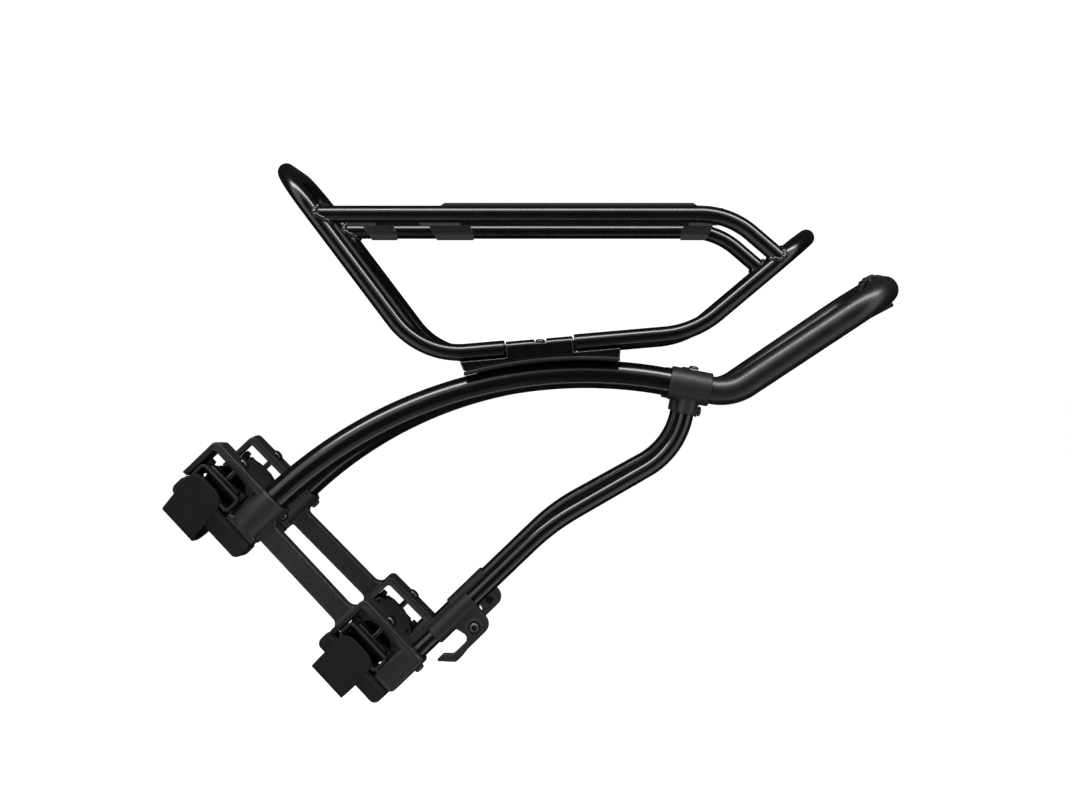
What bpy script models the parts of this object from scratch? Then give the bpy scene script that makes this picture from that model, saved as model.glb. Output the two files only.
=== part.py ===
"""A bicycle rear rack that straps to the seatstays: a tubular frame, a bag platform that slides
along its arched main tubes to come level, and four strap clamps that are tightened with screws.

+X points to the back of the bicycle, +Z up, and the left side is at -Y. The origin lies on the
plane of symmetry, midway between the upper and lower clamps, on the line of the seatstays.
Pieces are modelled on the left side, and those of the right side mirror them.
"""

import math

import bmesh
import bpy
from mathutils import Matrix, Vector

MM = 0.001
GAP = 0.3 * MM

# Tubes
SMALL_TUBE = 11 * MM
LARGE_TUBE = 18 * MM
SOCKET_CLEARANCE = 0.4 * MM
BED_CLEARANCE = 0.35 * MM
BEND_STEP = math.radians(10)

# Platform, in side view (x, z)
TRACK_Y = 55 * MM
DECK_Z = 245 * MM
FRONT_TOP = (12.9 * MM, 276.2 * MM)
FRONT_BEND = (104.4 * MM, 154.7 * MM)
REAR_BEND = (278.4 * MM, 169.8 * MM)
REAR_TOP = (353.4 * MM, 232.8 * MM)
RAIL_BEND_X = 300.5 * MM
RAIL_END = (333.7 * MM, 216.5 * MM)
FRONT_BEND_RADIUS = 52 * MM
REAR_BEND_RADIUS = 60 * MM
RAIL_BEND_RADIUS = 50 * MM
HOOP_CORNER_RADIUS = 32 * MM

# Deck plate, bag track and the clips that hold them to the rails
PLATE_X = (52 * MM, 298 * MM)
PLATE_HALF_WIDTH = 38 * MM
PLATE_Z = (247.5 * MM, 250.5 * MM)
BAG_TRACK_X = (108 * MM, 287.5 * MM)
BAG_TRACK_HALF_WIDTH = 24 * MM
BAG_TRACK_TOP = 256 * MM
BAG_TRACK_END_BEVEL = 8 * MM
BAG_TRACK_GROOVE = 7 * MM
CLIP_CENTRES = {"front": 64 * MM, "middle": 114 * MM, "rear": 286 * MM}
CLIP_LENGTHS = {"front": 22 * MM, "middle": 30 * MM, "rear": 22 * MM}
CLIP_THICKNESS = 2.2 * MM

# Joiner block between the hoops, which slides on the main tube
JOINER_Y = (-60.5 * MM, -38 * MM)
JOINER_X = (129.2 * MM, 231.4 * MM)
JOINER_FOOT_X = (131.8 * MM, 231 * MM)
JOINER_TOP = 4.4 * MM
TUBE_ENDS_X = (157.7 * MM, 201.9 * MM)
TUBE_END_GAP = 0.9 * MM
NOTCH_X = 180 * MM
NOTCH_HALF_LENGTH = 4 * MM
NOTCH_DEPTH = 2.4 * MM
LINER_THICKNESS = 2.4 * MM

# Brackets, in their own frame: x down the seatstay, y towards the middle, z away from it
STAY_ANGLE = math.radians(46.2)
BRACKET_SPLAY = math.radians(3.5)
BRACKET_Y = 54 * MM
CLAMP_X = 68.9 * MM
WINDOW_HALF_LENGTH = 18 * MM
FRAME_WALL = 3.6 * MM
FRAME_HALF_DEPTH = 10 * MM
FRAME_Z = (22.5 * MM, 52.2 * MM)
TOP_BAR_Z = 46.5 * MM
ARM_Z = (27.3 * MM, 40.6 * MM)
ARM_HALF_DEPTH = 5 * MM
UPPER_BOSS_X = -38.6 * MM
UPPER_BOSS_RADIUS = 12.3 * MM
LOWER_BOSS_X = 94.7 * MM
LOWER_BOSS_RADIUS = 7.8 * MM
SOCKET_FLOOR_Z = 30 * MM

# Cradle pads, straps, carriages
UPPER_PAD_X = (-88.5 * MM, -26.6 * MM)
LOWER_PAD_X = (46.7 * MM, 100.6 * MM)
UPPER_PAD_BOTTOM = 8.4 * MM
LOWER_PAD_BOTTOM = 10 * MM
PAD_TOP = 22.2 * MM
PAD_HALF_DEPTH = 9 * MM
PAD_FLAT_RISE = 2.2 * MM
PAD_FLAT_HALF_WIDTH = 3.5 * MM
CARRIAGE_HALF_LENGTH = 17 * MM
CARRIAGE_Z = (24 * MM, 36.4 * MM)
CARRIAGE_WALL = 2 * MM
STRAP_WIDTH = 27.5 * MM
STRAP_THICKNESS = 2.2 * MM
STRAP_INNER_Y = 12.5 * MM
STRAP_TOP_Z = 41.5 * MM
STRAP_FOLD_Y = -8.5 * MM
UPPER_STRAP_FOLD_Z = -3.4 * MM
LOWER_STRAP_FOLD_Z = -1.6 * MM
STRAP_FREE_END = (-30 * MM, 34 * MM)

# Screws: head radius, head height, shank radius
BUTTON_SCREW = (4 * MM, 2.8 * MM, 2 * MM)
SMALL_SCREW = (3.3 * MM, 2.2 * MM, 1.8 * MM)
SCREW_CLEARANCE = 0.4 * MM
TENSION_SHANK = 19.4 * MM

# Arched main tube and the collar behind it
ARC_CENTRE = (209 * MM, -144 * MM)
COLLAR_TILT = math.radians(10.8)
COLLAR_Y = 45 * MM
COLLAR_LENGTH = 27 * MM
COLLAR_RADIUS = 10.8 * MM
STAY_SOCKET_OFFSET = 13.8 * MM
STAY_SOCKET_RADIUS = 7.3 * MM
STAY_SOCKET_END = 18.3 * MM
STAY_SOCKET_FLOOR = 11.2 * MM

# Rear handle and the light bracket on its crossbar
HANDLE_RISE = math.radians(33.9)
HANDLE_LENGTH = 121.4 * MM
HANDLE_BEND_X = 302.5 * MM
HANDLE_HALF_WIDTH = 60 * MM
HANDLE_BEND_RADIUS = 30 * MM
HANDLE_CORNER_RADIUS = 25 * MM
LIGHT_BAND_HALF_WIDTH = 9 * MM
LIGHT_BAND_RADIUS = 11.6 * MM
LIGHT_PLATE_X = (-16 * MM, 5 * MM)
LIGHT_PLATE_Z = (-13.4 * MM, -10.6 * MM)
LIGHT_PLATE_HALF_WIDTH = 13 * MM
LIGHT_PLATE_ANGLE = math.radians(28)

# Lower stay
STAY_FIRST_BEND_X = 186.5 * MM
STAY_FIRST_BEND_RADIUS = 120 * MM
STAY_SECOND_BEND_RADIUS = 50 * MM
STAY_SECOND_BEND_DROP = 41.9 * MM

# Hook that slides on the lower stay
HOOK_Z = (66.5 * MM, 100.1 * MM)
HOOK_SLEEVE_RADIUS = 6.8 * MM
HOOK_HALF_DEPTH = 3.2 * MM
HOOK_BOLT = (14 * MM, 88.7 * MM)

# (x, y, z) of an outline drawn in x and y becomes (x, z) of a side view, extruded along y.
SIDE_VIEW = Matrix(((1, 0, 0, 0), (0, 0, -1, 0), (0, 1, 0, 0), (0, 0, 0, 1)))
# The same for an outline drawn in (y, z), extruded along x.
END_VIEW = Matrix(((0, 0, 1, 0), (1, 0, 0, 0), (0, 1, 0, 0), (0, 0, 0, 1)))


def clear_scene():
    for obj in list(bpy.data.objects):
        bpy.data.objects.remove(obj)


def material(name, colour, roughness, metallic):
    made = bpy.data.materials.new(name)
    made.use_nodes = True
    shader = made.node_tree.nodes["Principled BSDF"]
    shader.inputs["Base Color"].default_value = (*colour, 1)
    shader.inputs["Roughness"].default_value = roughness
    shader.inputs["Metallic"].default_value = metallic
    return made


def polar(radius, angle):
    return (radius * math.cos(angle), radius * math.sin(angle))


def rounded(corners, radii):
    """The path through the corners, with an arc of the given radius at each inner one."""
    points = [Vector(corner) for corner in corners]
    path = [points[0]]
    for before, corner, after, radius in zip(points, points[1:], points[2:], radii):
        into = (corner - before).normalized()
        out = (after - corner).normalized()
        turn = into.angle(out)
        if radius == 0 or turn < 1e-6:
            path.append(corner)
            continue
        reach = radius * math.tan(turn / 2)
        start = corner - into * reach
        inward = (out - into * out.dot(into)).normalized()
        steps = max(2, math.ceil(turn / BEND_STEP))
        for step in range(steps + 1):
            angle = turn * step / steps
            swing = into * math.sin(angle) + inward * (1 - math.cos(angle))
            path.append(start + swing * radius)
    path.append(points[-1])
    return path


def rounded_loop(corners, radii):
    """A closed outline through the corners, with an arc of the given radius at each."""
    closed = [corners[-1], *corners, corners[0]]
    return rounded([Vector((x, y, 0)) for x, y in closed], radii)[1:-1]


def arc(centre, radius, start, end, steps):
    points = []
    for step in range(steps + 1):
        x, y = polar(radius, start + (end - start) * step / steps)
        points.append((centre[0] + x, centre[1] + y))
    return points


def add(name, data, finish, matrix=None):
    obj = bpy.data.objects.new(name, data)
    PARTS.objects.link(obj)
    if not data.materials:
        data.materials.append(finish)
    obj.matrix_world = matrix or Matrix.Identity(4)
    return obj


def tube(name, path, diameter, finish, bevel_resolution):
    curve = bpy.data.curves.new(name, "CURVE")
    curve.dimensions = "3D"
    curve.bevel_depth = diameter / 2
    curve.bevel_resolution = bevel_resolution
    curve.use_fill_caps = True
    spline = curve.splines.new("POLY")
    spline.points.add(len(path) - 1)
    for point, place in zip(spline.points, path):
        point.co = (*place, 1)
    spline.use_smooth = True
    return add(name, curve, finish)


def plate(name, outlines, thickness, matrix, finish):
    """A flat piece from closed outlines in x and y, where an inner outline is a hole."""
    curve = bpy.data.curves.new(name, "CURVE")
    curve.dimensions = "2D"
    curve.fill_mode = "BOTH"
    curve.extrude = thickness / 2
    for outline in outlines:
        spline = curve.splines.new("POLY")
        spline.points.add(len(outline) - 1)
        for point, place in zip(spline.points, outline):
            point.co = (place[0], place[1], 0, 1)
        spline.use_cyclic_u = True
    return to_mesh(add(name, curve, finish, matrix))


def to_mesh(obj):
    """Replaces the object with its evaluated mesh, welded and in place."""
    bpy.context.view_layer.update()
    graph = bpy.context.evaluated_depsgraph_get()
    mesh = bpy.data.meshes.new_from_object(obj.evaluated_get(graph))
    shape = bmesh.new()
    shape.from_mesh(mesh)
    bmesh.ops.remove_doubles(shape, verts=shape.verts, dist=1e-7)
    bmesh.ops.recalc_face_normals(shape, faces=shape.faces)
    shape.to_mesh(mesh)
    shape.free()
    name = obj.name
    matrix = obj.matrix_world.copy()
    bpy.data.objects.remove(obj)
    made = add(name, mesh, None, matrix)
    made.name = name
    return made


def box(name, low, high, matrix, finish):
    shape = bmesh.new()
    size = [b - a for a, b in zip(low, high)]
    centre = [(a + b) / 2 for a, b in zip(low, high)]
    place = Matrix.Translation(centre) @ Matrix.Diagonal((*size, 1))
    bmesh.ops.create_cube(shape, size=1, matrix=place)
    mesh = bpy.data.meshes.new(name)
    shape.to_mesh(mesh)
    shape.free()
    return add(name, mesh, finish, matrix)


def rod(name, start, end, radius, segments, matrix, finish):
    """A cylinder from start to end."""
    start = Vector(start)
    axis = Vector(end) - start
    turn = Vector((0, 0, 1)).rotation_difference(axis).to_matrix().to_4x4()
    place = Matrix.Translation(start + axis / 2) @ turn
    shape = bmesh.new()
    bmesh.ops.create_cone(
        shape, cap_ends=True, segments=segments, radius1=radius, radius2=radius,
        depth=axis.length, matrix=place,
    )
    mesh = bpy.data.meshes.new(name)
    shape.to_mesh(mesh)
    shape.free()
    return add(name, mesh, finish, matrix)


def combined(obj, others, operation):
    """The object's mesh joined with, or cut by, the others, which are then removed."""
    for other in others:
        modifier = obj.modifiers.new(operation, "BOOLEAN")
        modifier.operation = operation
        modifier.solver = "EXACT"
        modifier.object = other
    made = to_mesh(obj)
    for other in others:
        bpy.data.objects.remove(other)
    return made


def joined(obj, *others):
    return combined(obj, others, "UNION")


def cut(obj, *others):
    return combined(obj, others, "DIFFERENCE")


def smooth(obj):
    if obj.type == "MESH":
        obj.data.shade_smooth()
        obj.data.set_sharp_from_angle(angle=math.radians(35))
    return obj


def screw(name, place, outward, size, shank_length, finish):
    """A button-head screw: its head stands on place, towards outward, and its shank goes in."""
    head_radius, head_height, shank_radius = size
    profile = [(0, head_height)]
    for step in (1, 2, 3):
        angle = math.pi / 6 * step
        profile.append((head_radius * math.sin(angle), head_height * (0.25 + 0.75 * math.cos(angle))))
    profile += [(head_radius, 0), (shank_radius, 0), (shank_radius, -shank_length), (0, -shank_length)]
    mesh = bpy.data.meshes.new(name)
    mesh.from_pydata([(x, 0, z) for x, z in profile], [(i, i + 1) for i in range(len(profile) - 1)], [])
    turn = Vector((0, 0, 1)).rotation_difference(Vector(outward)).to_matrix().to_4x4()
    obj = add(name, mesh, finish, Matrix.Translation(place) @ turn)
    modifier = obj.modifiers.new("Turn", "SCREW")
    modifier.steps = 10
    modifier.render_steps = 10
    modifier.use_merge_vertices = True
    modifier.merge_threshold = 1e-5
    return smooth(to_mesh(obj))


def mirrored(obj):
    """The right side's copy of a left piece, sharing its mesh."""
    name = obj.name.replace("left_", "right_")
    return add(name, obj.data, None, Matrix.Scale(-1, 4, (0, 1, 0)) @ obj.matrix_world)


def both_sides(*pieces):
    for piece in pieces:
        mirrored(piece)


def bracket_frame():
    down = Vector((math.cos(STAY_ANGLE), 0, -math.sin(STAY_ANGLE))) * math.cos(BRACKET_SPLAY)
    down += Vector((0, -1, 0)) * math.sin(BRACKET_SPLAY)
    away = Vector((math.sin(STAY_ANGLE), 0, math.cos(STAY_ANGLE)))
    inward = away.cross(down)
    frame = Matrix((down, inward, away)).transposed().to_4x4()
    frame.translation = Vector((0, -BRACKET_Y, 0))
    return frame


def side(x, z, y):
    return Vector((x, y, z))


def bottom_run_z(x):
    """Centre height of the hoops' bottom tubes, one straight line through both bends."""
    slope = (REAR_BEND[1] - FRONT_BEND[1]) / (REAR_BEND[0] - FRONT_BEND[0])
    return FRONT_BEND[1] + slope * (x - FRONT_BEND[0])


def hoop_path(end_x, bend, top, bend_radius):
    """From a joiner block, up one leg, across and down the other leg."""
    corners = [
        side(end_x, bottom_run_z(end_x), -TRACK_Y),
        side(*bend, -TRACK_Y),
        side(*top, -TRACK_Y),
        side(*top, TRACK_Y),
        side(*bend, TRACK_Y),
        side(end_x, bottom_run_z(end_x), TRACK_Y),
    ]
    return rounded(corners, [bend_radius, HOOP_CORNER_RADIUS, HOOP_CORNER_RADIUS, bend_radius])


def hoop(name, path):
    return tube(name, path, SMALL_TUBE, GLOSS_BLACK, 2)


def bed_cutter(path):
    """A tube just larger than the one along this path, to cope a neighbour to it."""
    return to_mesh(tube("bed", path, SMALL_TUBE + 2 * BED_CLEARANCE, GLOSS_BLACK, 2))


def rail_path():
    """Straight along the deck, bent down at the back."""
    drop = (FRONT_TOP[0] - FRONT_BEND[0]) / (FRONT_TOP[1] - FRONT_BEND[1])
    start_x = FRONT_TOP[0] + drop * (DECK_Z - FRONT_TOP[1])
    corners = [
        side(start_x, DECK_Z, -TRACK_Y),
        side(RAIL_BEND_X, DECK_Z, -TRACK_Y),
        side(*RAIL_END, -TRACK_Y),
    ]
    return rounded(corners, [RAIL_BEND_RADIUS])


def deck_rail():
    """The rail, coped at both ends to the hoops' legs."""
    rail = to_mesh(tube("left_deck_rail", rail_path(), SMALL_TUBE, GLOSS_BLACK, 2))
    return smooth(cut(rail, bed_cutter(FRONT_HOOP), bed_cutter(REAR_HOOP)))


def deck_clip(place):
    """Hugs the rail from inside and carries the edge of the deck plate."""
    inner = SMALL_TUBE / 2 - GAP
    outer = SMALL_TUBE / 2 + GAP + CLIP_THICKNESS
    top = 4.5 * MM
    bottom = -3 * MM
    ledge = PLATE_Z[0] - DECK_Z - GAP
    edge = TRACK_Y - PLATE_HALF_WIDTH - GAP
    outline = [(edge + 5 * MM, bottom), (edge + 5 * MM, ledge), (edge, ledge), (edge, top)]
    outline.append(polar(outer, math.asin(top / outer)))
    outline += arc((0, 0), inner, math.radians(55), math.radians(-60), 6)
    outline += arc((0, 0), outer, math.radians(-60), math.asin(bottom / outer), 3)
    matrix = Matrix.Translation((CLIP_CENTRES[place], -TRACK_Y, DECK_Z)) @ END_VIEW
    clip = plate(f"left_{place}_deck_clip", [outline], CLIP_LENGTHS[place], matrix, SATIN_BLACK)
    return smooth(cut(clip, bed_cutter(rail_path())))


def deck_plate():
    front, rear = PLATE_X
    corners = [(front, -1), (rear, -1), (rear, 1), (front, 1)]
    outline = rounded_loop([(x, y * PLATE_HALF_WIDTH) for x, y in corners], [8 * MM] * 4)
    centre = Matrix.Translation((0, 0, sum(PLATE_Z) / 2))
    return plate("deck_plate", [outline], PLATE_Z[1] - PLATE_Z[0], centre, MATT_BLACK)


def bag_track():
    """A T-shaped rail with bevelled ends, which a bag's shoe slides onto."""
    front, rear = BAG_TRACK_X
    floor = PLATE_Z[1] + GAP
    outline = [(front, floor), (rear, floor), (rear - BAG_TRACK_END_BEVEL, BAG_TRACK_TOP)]
    outline.append((front + BAG_TRACK_END_BEVEL, BAG_TRACK_TOP))
    track = plate("bag_track", [outline], 2 * BAG_TRACK_HALF_WIDTH, SIDE_VIEW, MATT_BLACK)
    grooves = []
    for sign in (-1, 1):
        ends = sorted((sign * (BAG_TRACK_HALF_WIDTH - BAG_TRACK_GROOVE), sign * 2 * BAG_TRACK_HALF_WIDTH))
        low = (front - MM, ends[0], floor - MM)
        high = (rear + MM, ends[1], floor + 2 * MM)
        grooves.append(box("groove", low, high, None, MATT_BLACK))
    return cut(track, *grooves)


def main_arc_radius():
    """Radius of the arch, which makes it tangent to the upper boss's axis."""
    frame = bracket_frame()
    on_axis = frame @ Vector((UPPER_BOSS_X, 0, 0))
    from_centre = on_axis - side(*ARC_CENTRE, on_axis.y)
    across = Vector((-math.cos(STAY_ANGLE), 0, math.sin(STAY_ANGLE)))
    return from_centre.dot(across)


def on_arch(radius, slope, y):
    """The point of a circle about the arch's centre where it climbs at this slope."""
    x = ARC_CENTRE[0] - radius * math.sin(slope)
    z = ARC_CENTRE[1] + radius * math.cos(slope)
    return side(x, z, y)


def joiner():
    """The block between the hoops' ends, with a lip under each tube, curved to the arch below."""
    front, rear = JOINER_X
    tube_front, tube_rear = TUBE_ENDS_X[0] + TUBE_END_GAP, TUBE_ENDS_X[1] - TUBE_END_GAP
    top = JOINER_TOP
    lip = SMALL_TUBE / 2 + GAP
    outline = [
        (front, bottom_run_z(front) - lip),
        (tube_front, bottom_run_z(tube_front) - lip),
        (tube_front, bottom_run_z(tube_front) + top),
        (NOTCH_X - NOTCH_HALF_LENGTH, bottom_run_z(NOTCH_X) + top),
        (NOTCH_X - NOTCH_HALF_LENGTH, bottom_run_z(NOTCH_X) + top - NOTCH_DEPTH),
        (NOTCH_X + NOTCH_HALF_LENGTH, bottom_run_z(NOTCH_X) + top - NOTCH_DEPTH),
        (NOTCH_X + NOTCH_HALF_LENGTH, bottom_run_z(NOTCH_X) + top),
        (tube_rear, bottom_run_z(tube_rear) + top),
        (tube_rear, bottom_run_z(tube_rear) - lip),
        (rear, bottom_run_z(rear) - lip),
    ]
    radius = MAIN_RADIUS + LARGE_TUBE / 2 + LINER_THICKNESS + 2 * GAP
    angles = [math.asin((ARC_CENTRE[0] - x) / radius) for x in JOINER_FOOT_X[::-1]]
    steps = 12
    for step in range(steps + 1):
        slope = angles[0] + (angles[1] - angles[0]) * step / steps
        point = on_arch(radius, slope, 0)
        outline.append((point.x, point.z))
    centre_y = sum(JOINER_Y) / 2
    block = plate(
        "left_joiner_block", [outline], JOINER_Y[1] - JOINER_Y[0],
        Matrix.Translation((0, centre_y, 0)) @ SIDE_VIEW, SATIN_BLACK,
    )
    floor = bottom_run_z(NOTCH_X) + top - NOTCH_DEPTH
    hole = rod(
        "hole", (NOTCH_X, centre_y, floor - 9 * MM), (NOTCH_X, centre_y, floor + MM),
        SMALL_SCREW[2] + SCREW_CLEARANCE, 16, None, SATIN_BLACK,
    )
    bolt = screw(
        "left_joiner_bolt", (NOTCH_X, centre_y, floor + GAP), (0, 0, 1), SMALL_SCREW, 8 * MM, STEEL,
    )
    return smooth(cut(block, hole)), bolt


def joiner_liner():
    """The plastic strip between the joiner block and the main tube."""
    inner = MAIN_RADIUS + LARGE_TUBE / 2 + GAP
    outer = inner + LINER_THICKNESS
    outline = []
    steps = 12
    for radius, ends in ((outer, JOINER_FOOT_X), (inner, JOINER_FOOT_X[::-1])):
        angles = [math.asin((ARC_CENTRE[0] - x) / radius) for x in ends]
        for step in range(steps + 1):
            point = on_arch(radius, angles[0] + (angles[1] - angles[0]) * step / steps, 0)
            outline.append((point.x, point.z))
    place = Matrix.Translation((0, sum(JOINER_Y) / 2, 0)) @ SIDE_VIEW
    width = JOINER_Y[1] - JOINER_Y[0] - 0.8 * MM
    return smooth(plate("left_joiner_liner", [outline], width, place, MATT_BLACK))


def window_frame(centre_x, boss_x):
    """Outline of a clamp's frame: an end wall and a top bar that reaches the boss."""
    toward = 1 if boss_x > centre_x else -1
    inside = centre_x - toward * WINDOW_HALF_LENGTH
    outside = inside - toward * FRAME_WALL
    corners = [
        (outside, FRAME_Z[0]), (outside, FRAME_Z[1]), (boss_x, FRAME_Z[1]),
        (boss_x, TOP_BAR_Z), (inside, TOP_BAR_Z), (inside, FRAME_Z[0]),
    ]
    return rounded_loop(corners, [0, 3 * MM, 0, 0, 1.5 * MM, 0])


def stay_bracket():
    """The bracket: two clamp frames, two tube sockets and the arm between them."""
    frame = BRACKET_FRAME @ SIDE_VIEW
    depth = 2 * FRAME_HALF_DEPTH
    body = plate("left_stay_bracket", [window_frame(-CLAMP_X, UPPER_BOSS_X)], depth, frame, SATIN_BLACK)
    lower = plate("lower_frame", [window_frame(CLAMP_X, LOWER_BOSS_X)], depth, frame, SATIN_BLACK)
    left, right = UPPER_BOSS_X + UPPER_BOSS_RADIUS, CLAMP_X - WINDOW_HALF_LENGTH - FRAME_WALL
    low, high = ARM_Z
    corners = [
        (UPPER_BOSS_X, high + 3 * MM), (left, high + 3 * MM), (left, high), (right, high),
        (right, high + 6 * MM), (right + 2 * MM, high + 6 * MM), (right + 2 * MM, low - 4.5 * MM),
        (right, low - 4.5 * MM), (right, low), (left, low), (left, low - MM), (UPPER_BOSS_X, low - MM),
    ]
    radii = [0, 0, 3 * MM, 5 * MM, 0, 0, 0, 0, 4 * MM, MM, 0, 0]
    arm = plate("arm", [rounded_loop(corners, radii)], 2 * ARM_HALF_DEPTH, frame, SATIN_BLACK)
    top = FRAME_Z[1] + 0.4 * MM
    bottom = FRAME_Z[0] + 2.8 * MM
    upper_boss = rod(
        "upper_boss", (UPPER_BOSS_X, 0, bottom), (UPPER_BOSS_X, 0, top),
        UPPER_BOSS_RADIUS, 32, BRACKET_FRAME, SATIN_BLACK,
    )
    lower_boss = rod(
        "lower_boss", (LOWER_BOSS_X, 0, bottom), (LOWER_BOSS_X, 0, top),
        LOWER_BOSS_RADIUS, 24, BRACKET_FRAME, SATIN_BLACK,
    )
    feet = []
    for ends in (
        (-CLAMP_X + WINDOW_HALF_LENGTH, UPPER_PAD_X[1]),
        (CLAMP_X + WINDOW_HALF_LENGTH, LOWER_PAD_X[1]),
    ):
        low_corner = (ends[0], -PAD_HALF_DEPTH, FRAME_Z[0])
        high_corner = (ends[1], PAD_HALF_DEPTH, bottom + MM)
        feet.append(box("foot", low_corner, high_corner, BRACKET_FRAME, SATIN_BLACK))
    body = joined(body, upper_boss, arm, lower, lower_boss, *feet)
    return smooth(cut(body, *bracket_cutters()))


def bracket_cutters():
    """The tube sockets, the screws' holes and the shallow webs in the arm's faces."""
    cutters = []
    for x, diameter in ((UPPER_BOSS_X, LARGE_TUBE), (LOWER_BOSS_X, SMALL_TUBE)):
        radius = diameter / 2 + SOCKET_CLEARANCE
        ends = ((x, 0, SOCKET_FLOOR_Z), (x, 0, FRAME_Z[1] + 9 * MM))
        cutters.append(rod("socket", *ends, radius, 24, BRACKET_FRAME, SATIN_BLACK))
    hole = BUTTON_SCREW[2] + SCREW_CLEARANCE
    for x in (-CLAMP_X, CLAMP_X):
        ends = ((x, 0, TOP_BAR_Z - MM), (x, 0, FRAME_Z[1] + MM))
        cutters.append(rod("screw_hole", *ends, hole, 16, BRACKET_FRAME, SATIN_BLACK))
    for x, z in SOCKET_BOLTS.values():
        ends = ((x - 5 * MM, 0, z), (x + MM, 0, z))
        cutters.append(rod("bolt_hole", *ends, hole, 12, BRACKET_FRAME, SATIN_BLACK))
    web = 1.2 * MM
    for sign in (-1, 1):
        ends = sorted((sign * (ARM_HALF_DEPTH - web), sign * (ARM_HALF_DEPTH + MM)))
        low = (-18 * MM, ends[0], ARM_Z[0] + 2 * MM)
        high = (40 * MM, ends[1], ARM_Z[1] - 2 * MM)
        cutters.append(box("web", low, high, BRACKET_FRAME, SATIN_BLACK))
    return cutters


def cradle_pad(name, ends, low):
    """The rubber cradle that rests on the seatstay, with a flat between two sloping wings."""
    corners = [(ends[0], low), (ends[1], low), (ends[1], PAD_TOP), (ends[0], PAD_TOP)]
    outline = rounded_loop(corners, [4 * MM, 4 * MM, 0, 0])
    pad = plate(name, [outline], 2 * PAD_HALF_DEPTH, BRACKET_FRAME @ SIDE_VIEW, RUBBER)
    wing = PAD_HALF_DEPTH + MM
    flat = low + PAD_FLAT_RISE
    slope = PAD_FLAT_RISE / (PAD_HALF_DEPTH - PAD_FLAT_HALF_WIDTH)
    drop = flat - slope * (wing - PAD_FLAT_HALF_WIDTH)
    groove = [
        (-wing, drop), (-wing, drop - MM), (wing, drop - MM), (wing, drop),
        (PAD_FLAT_HALF_WIDTH, flat), (-PAD_FLAT_HALF_WIDTH, flat),
    ]
    place = BRACKET_FRAME @ Matrix.Translation((sum(ends) / 2, 0, 0)) @ END_VIEW
    cutter = plate("groove", [groove], ends[1] - ends[0] + 4 * MM, place, RUBBER)
    return cut(pad, cutter)


def carriage(name, x):
    """The buckle body: a rounded sleeve, open to both sides, that the tension screw lifts."""
    loops = []
    for inset, radius in ((0, 3 * MM), (CARRIAGE_WALL, 1.5 * MM)):
        reach = CARRIAGE_HALF_LENGTH - inset
        low, high = CARRIAGE_Z[0] + inset, CARRIAGE_Z[1] - inset
        corners = [(x - reach, low), (x + reach, low), (x + reach, high), (x - reach, high)]
        loops.append(rounded_loop(corners, [radius] * 4))
    body = plate(name, loops, 2 * FRAME_HALF_DEPTH, BRACKET_FRAME @ SIDE_VIEW, MATT_BLACK)
    hole = rod(
        "hole", (x, 0, CARRIAGE_Z[1] - 2 * CARRIAGE_WALL), (x, 0, CARRIAGE_Z[1] + MM),
        BUTTON_SCREW[2] + SCREW_CLEARANCE, 16, BRACKET_FRAME, MATT_BLACK,
    )
    return smooth(cut(body, hole))


def strap_path(fold_z):
    """The strap's middle line in (y, z): down inside the clamp, round below, out to its free end."""
    corners = [
        (STRAP_INNER_Y, STRAP_TOP_Z, 0), (STRAP_INNER_Y, fold_z, 0),
        (STRAP_FOLD_Y, fold_z, 0), (*STRAP_FREE_END, 0),
    ]
    return rounded(corners, [8.5 * MM, 9 * MM])


def ribbon(path, thickness):
    """The closed outline of a band of this thickness along a path in x and y."""
    sides = ([], [])
    for index, point in enumerate(path):
        before = path[max(index - 1, 0)]
        after = path[min(index + 1, len(path) - 1)]
        along = (after - before).normalized()
        across = Vector((-along.y, along.x, 0)) * thickness / 2
        sides[0].append(point + across)
        sides[1].append(point - across)
    return sides[0] + sides[1][::-1]


def strap(name, x, fold_z):
    place = BRACKET_FRAME @ Matrix.Translation((x, 0, 0)) @ END_VIEW
    outline = ribbon(strap_path(fold_z), STRAP_THICKNESS)
    return smooth(plate(name, [outline], STRAP_WIDTH, place, RUBBER))


def clamp(position, x, pad_ends, pad_bottom, fold_z):
    """Everything of one clamp except the bracket: pad, strap, carriage and tension screw."""
    head = BRACKET_FRAME @ Vector((x, 0, FRAME_Z[1] + GAP))
    outward = BRACKET_FRAME.to_3x3() @ Vector((0, 0, 1))
    return [
        cradle_pad(f"left_{position}_cradle_pad", pad_ends, pad_bottom),
        strap(f"left_{position}_strap", x, fold_z),
        carriage(f"left_{position}_carriage", x),
        screw(f"left_{position}_tension_screw", head, outward, BUTTON_SCREW, TENSION_SHANK, STEEL),
    ]


def socket_bolts():
    """The bolts that lock the tubes in the bracket's sockets."""
    outward = BRACKET_FRAME.to_3x3() @ Vector((1, 0, 0))
    made = []
    for position, (x, z) in SOCKET_BOLTS.items():
        place = BRACKET_FRAME @ Vector((x + GAP, 0, z))
        made.append(screw(f"left_{position}_socket_bolt", place, outward, SMALL_SCREW, 1.6 * MM, STEEL))
    return made


def main_tube():
    """Straight out of the bracket, along the arch, then straight into the collar."""
    start = BRACKET_FRAME @ Vector((UPPER_BOSS_X, 0, SOCKET_FLOOR_Z + GAP))
    climb = math.pi / 2 - STAY_ANGLE
    path = [start]
    steps = 14
    for step in range(steps + 1):
        share = step / steps
        slope = climb + (-COLLAR_TILT - climb) * share
        path.append(on_arch(MAIN_RADIUS, slope, start.y + (-COLLAR_Y - start.y) * share))
    path.append(path[-1] + COLLAR_AXIS * (COLLAR_LENGTH / 2 - GAP))
    return tube("left_main_tube", path, LARGE_TUBE, GLOSS_BLACK, 3)


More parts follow.
